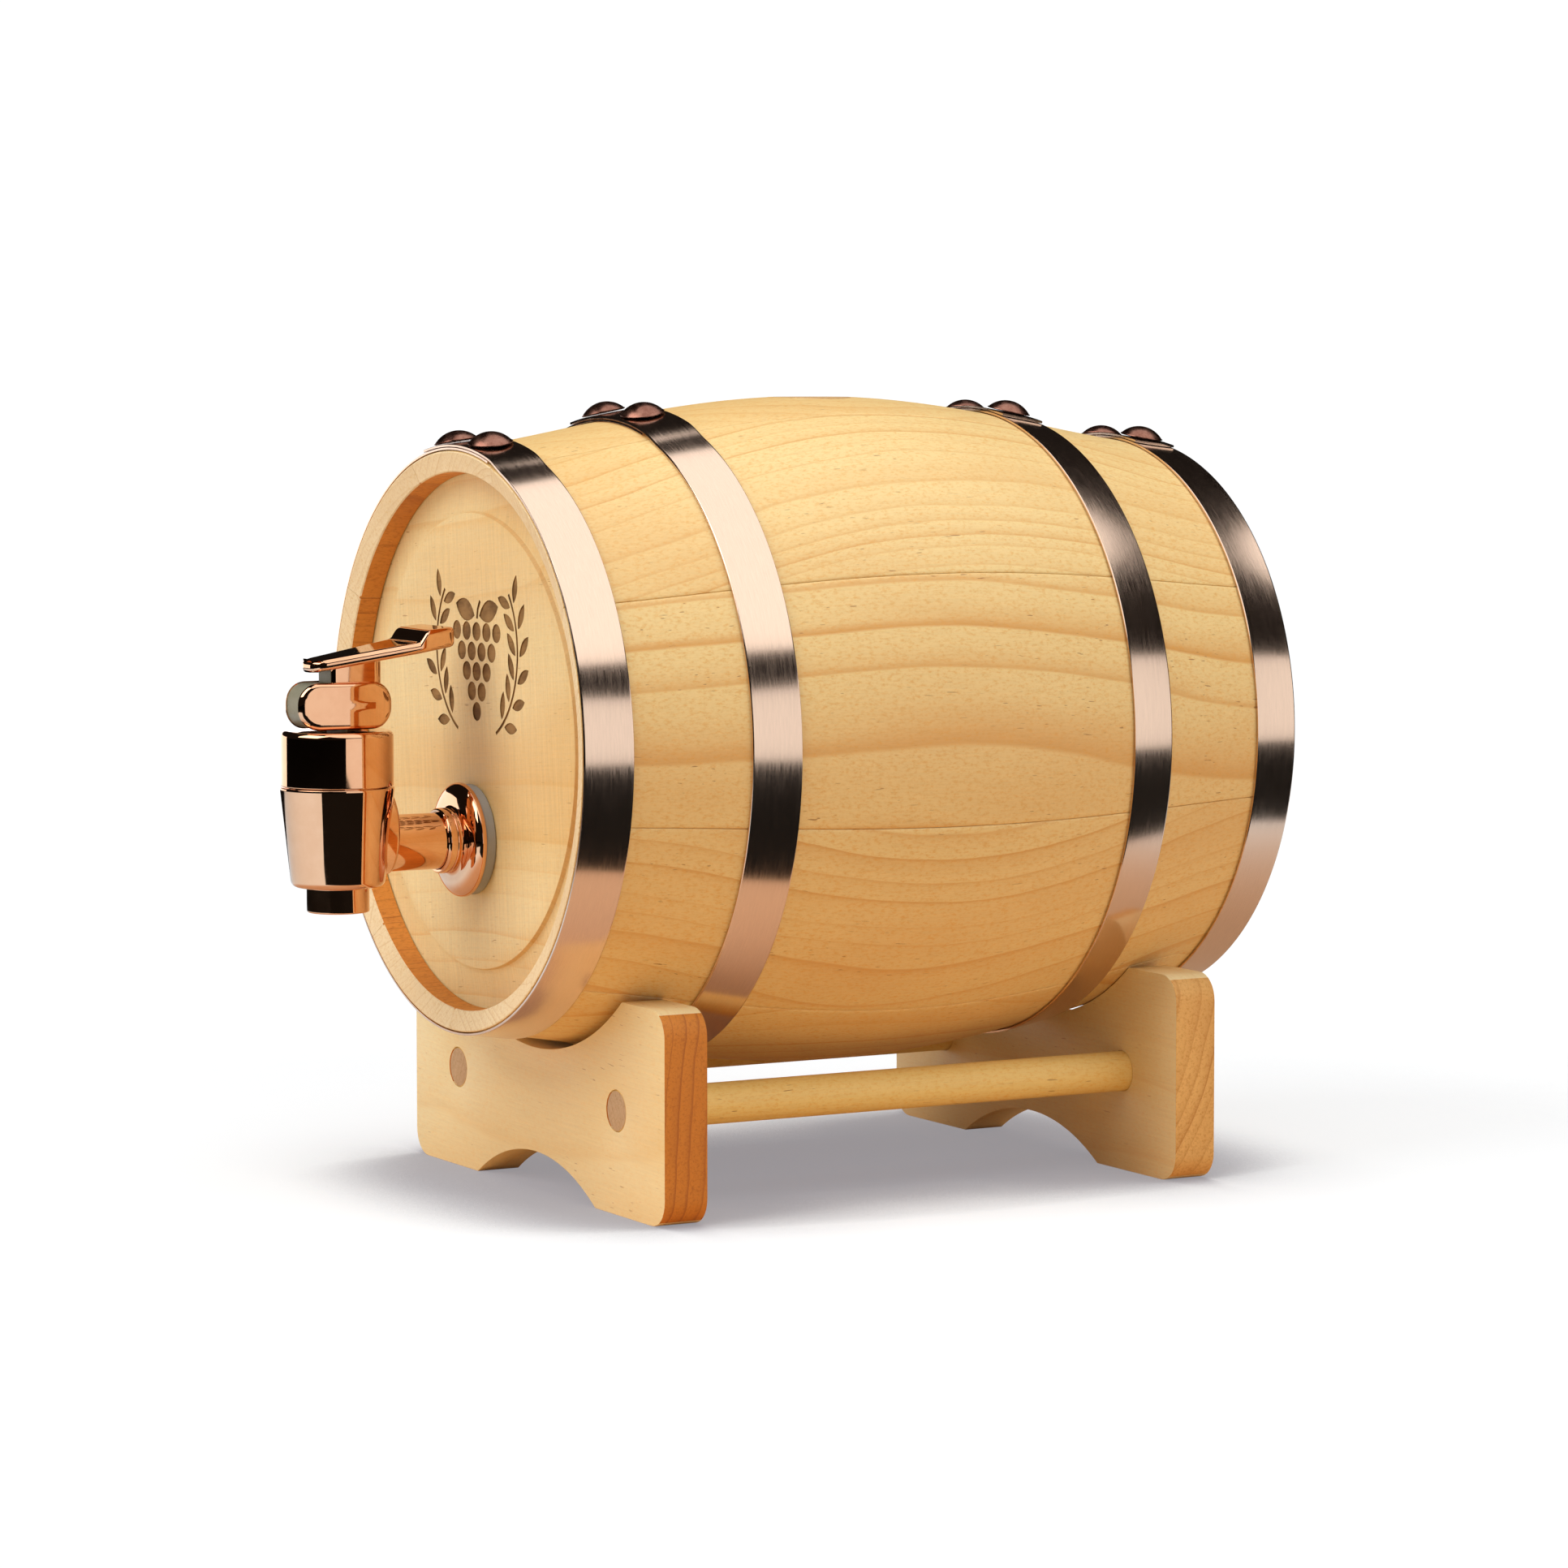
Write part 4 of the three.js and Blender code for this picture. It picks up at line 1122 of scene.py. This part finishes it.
def burned_wood():
    """Scorched floor of the stamped ornament."""
    s = Shader("burned_wood")
    grain = s.attribute("grain")
    fibre = s.streaks(grain, (1.6, 0.12, 1.6), 3.0, 0.6)
    cloud = s.streaks(grain, (0.16, 0.10, 0.16), 3.0, 0.6)
    colour = s.blend(s.ramp(cloud, 0.3, 0.7), rgb(0.17, 0.085, 0.030), rgb(0.36, 0.20, 0.075))
    s.colour(s.blend(s.ramp(fibre, 0.5, 0.8, 0.0, 0.5), colour, rgb(0.10, 0.05, 0.02)))
    s.set(Roughness=0.75, Specular_IOR_Level=0.2)
    s.bump(fibre, 0.4, 0.00010)
    return s.material


def make_materials():
    make_woods()
    MATERIALS.update({
        "burn": burned_wood(),
        "hoop": brushed_copper(),
        "rivet": cloudy_metal("rivet_copper", (420, 420, 420), (4.0, 0.7), (0.35, 0.7),
                              rgb(0.23, 0.095, 0.066), rgb(0.36, 0.175, 0.125), (0.22, 0.34)),
        "rose_gold": cloudy_metal("rose_gold_plating", (160, 160, 160), (3.0, 0.6), (0.3, 0.7),
                                  rgb(0.79, 0.43, 0.25), rgb(0.83, 0.47, 0.28), (0.030, 0.055)),
        "steel": cloudy_metal("spring_steel", (900, 900, 250), (3.0, 0.5), None,
                              rgb(0.50, 0.51, 0.53), rgb(0.66, 0.67, 0.69), (0.22, 0.34)),
        "rubber": moulded("washer_rubber", rgb(0.36, 0.36, 0.34), 0.62, 1500),
        "plastic": moulded("valve_plastic", rgb(0.80, 0.78, 0.74), 0.42, 1200),
        # Painted reflection: dark grey for the grey wall that the lever's plating reflects on its middle
        # band and neck front.
        "painted_grey_reflection": moulded("lever_painted_grey_reflection", rgb(0.25, 0.235, 0.165), 0.45, 1300),
        "silicone": moulded("silicone_white", rgb(0.74, 0.74, 0.72), 0.5, 900, 0.3),
    })


# ---- Stage, light and camera ----------------------------------------------------------------
def floor_material():
    """White to the camera, with a soft contact shadow.

    Reflections find a panel that is warm beside the barrel, white further out, and ends along the
    barrel's right side. Matt surfaces get its warm light from all round. It fades into the white
    surroundings before its edge shows.
    """
    s = Shader("pale_floor")
    x, y, _ = s.split(s.where())
    seen = s.node("ShaderNodeLightPath", (), "Is Camera Ray")
    mirrored = seen.node.outputs["Is Glossy Ray"]
    reach = s.vector("LENGTH", s.join(x, y, 0.0))
    cloud = s.noise(s.where(), 3.0, 3.0)
    contact = s.node("ShaderNodeAmbientOcclusion", (None, SHADOW_REACH), "AO", samples=8)
    shade = s.ramp(contact, 0.56, 0.98)
    white = s.blend(cloud, rgb(0.41, 0.43, 0.45), rgb(0.43, 0.45, 0.47))
    white = s.blend(shade, rgb(0.19, 0.19, 0.205), white)
    glow = s.blend(shade, rgb(0.28, 0.275, 0.295), rgb(0.62, 0.62, 0.62))

    outer = s.ramp(reach, 0.20, 0.42)
    warm = s.blend(outer, rgb(0.67, 0.49, 0.35), rgb(0.82, 0.86, 0.90))
    outward = s.math("MAXIMUM", s.math("SUBTRACT", PANEL_TURN, y), 0.0)
    edge = s.math("SUBTRACT", x, s.times(outward, 0.75))
    past_edge = s.ramp(edge, PANEL_EDGE - 0.002, PANEL_EDGE + 0.002)
    beyond = s.math("MAXIMUM", past_edge, s.ramp(reach, 0.76, 0.82))
    panel = s.blend(beyond, warm, rgb(0.01, 0.01, 0.01))
    bounce = s.blend(s.ramp(reach, 0.30, 0.70), rgb(0.80, 0.50, 0.24), rgb(0.76, 0.70, 0.64))
    s.colour(s.blend(seen, s.blend(mirrored, bounce, panel), white))
    s.set(Roughness=0.9, Specular_IOR_Level=0.0)

    far = s.math("SUBTRACT", outer, beyond, clamp=True)
    gleam = s.blend(mirrored, rgb(0, 0, 0), s.blend(far, rgb(0, 0, 0), rgb(0.06, 0.20, 0.32)))
    s.set(Emission_Color=s.blend(seen, gleam, glow), Emission_Strength=1.0)
    s.set(Alpha=s.math("SUBTRACT", 1.0, s.times(seen, s.ramp(reach, 0.25, 0.45))))
    return s.material


def make_floor():
    mesh = bpy.data.meshes.new("floor")
    corners = [(x * FLOOR_HALF, y * FLOOR_HALF, 0) for x, y in ((-1, -1), (1, -1), (1, 1), (-1, 1))]
    mesh.from_pydata(corners, [], [(0, 1, 2, 3)])
    mesh.materials.append(floor_material())
    add_object("floor", mesh)


def aim(obj, location, direction):
    """Put a light or camera in place, looking along a direction."""
    obj.location = location
    obj.rotation_mode = "QUATERNION"
    obj.rotation_quaternion = Vector(direction).to_track_quat("-Z", "Y")


def area_light(name, location, target, size, radiance, shape="RECTANGLE", mirrored=True):
    """A soft panel that the camera doesn't see; radiance is how bright its face looks."""
    data = bpy.data.lights.new(name, "AREA")
    data.shape = shape
    data.size, data.size_y = size
    area = size[0] * size[1] * (math.pi / 4 if shape == "ELLIPSE" else 1.0)
    data.energy = radiance * area * math.pi
    obj = add_object(name, data)
    aim(obj, location, Vector(target) - Vector(location))
    obj.visible_camera = False
    obj.visible_glossy = mirrored


def heading(azimuth, elevation):
    """A unit vector; azimuth 0 points to -Y, the front, and 90 to +X."""
    a, e = math.radians(azimuth), math.radians(elevation)
    return Vector((math.sin(a) * math.cos(e), -math.cos(a) * math.cos(e), math.sin(e)))


def make_camera():
    back = heading(AZIMUTH, ELEVATION)
    data = bpy.data.cameras.new("camera")
    data.sensor_width = SENSOR
    data.lens = LENS
    data.shift_x, data.shift_y = SHIFT
    data.clip_start, data.clip_end = 0.05, 60.0
    obj = add_object("camera", data)
    aim(obj, MIDDLE + back * DISTANCE, -back)
    bpy.context.scene.camera = obj


def around_object(azimuth, elevation, distance):
    """A point seen from the barrel at an azimuth counted from the camera, positive to its right."""
    return MIDDLE + heading(AZIMUTH + azimuth, elevation) * distance


def make_world():
    """White to the camera, a soft pale fill on matt surfaces and a dark studio in reflections."""
    world = bpy.data.worlds.new("studio")
    world.use_nodes = True
    bpy.context.scene.world = world
    tree = world.node_tree
    path = tree.nodes.new("ShaderNodeLightPath")
    found = None
    for ray, colour, strength in ((None, rgb(1.0, 0.88, 0.74), 0.16),
                                  ("Is Glossy Ray", rgb(1.0, 0.80, 0.70), 0.010),
                                  ("Is Camera Ray", rgb(1, 1, 1), 1.05)):
        shade = tree.nodes.new("ShaderNodeBackground")
        shade.inputs["Color"].default_value = colour
        shade.inputs["Strength"].default_value = strength
        if ray is None:
            found = shade.outputs[0]
            continue
        mix = tree.nodes.new("ShaderNodeMixShader")
        for socket, source in zip(mix.inputs, (path.outputs[ray], found, shade.outputs[0])):
            tree.links.new(source, socket)
        found = mix.outputs[0]
    tree.links.new(found, tree.nodes["World Output"].inputs[0])


def make_stage():
    """The floor, four panels that shape the reflections and two fills that don't show in them."""
    make_floor()
    overhead = MIDDLE + Vector((0.46, 0.17, 0.70))
    area_light("top_softbox", overhead, overhead - Vector((0, 0, 1)), (1.50, 1.32), 1.38, "ELLIPSE")
    facing = Vector((0.859, 0.512, 0.0))
    side = MIDDLE + facing * 1.2 + Vector((0.512, -0.859, 0)) * 0.25 + Vector((0, 0, 0.1425))
    area_light("side_softbox", side, side - facing, (1.7, 0.555), 1.05)
    area_light("front_softbox", around_object(-62, 42, 1.3), MIDDLE, (1.0, 0.9), 3.3)
    behind = around_object(-147, 1, 1.1)
    area_light("back_softbox", behind, MIDDLE + Vector((0, 0, 0.02)), (1.45, 0.27), 1.6)
    area_light("front_fill", around_object(-68, 3, 1.4), MIDDLE, (0.9, 0.6), 2.4, mirrored=False)
    above = MIDDLE + Vector((0.0, 0.1, 0.9))
    area_light("top_fill", above, MIDDLE, (0.9, 0.9), 0.40, mirrored=False)


scene = bpy.context.scene
scene.view_settings.view_transform = "Standard"
scene.view_settings.look = "None"

make_camera()
make_world()
make_stage()
make_materials()
make_staves()
make_heads()
make_bung()
make_hoops()
make_tap_body()
make_tap_trim()
make_lock_nut()
make_valve()
make_spring()
make_lever()
make_stand()
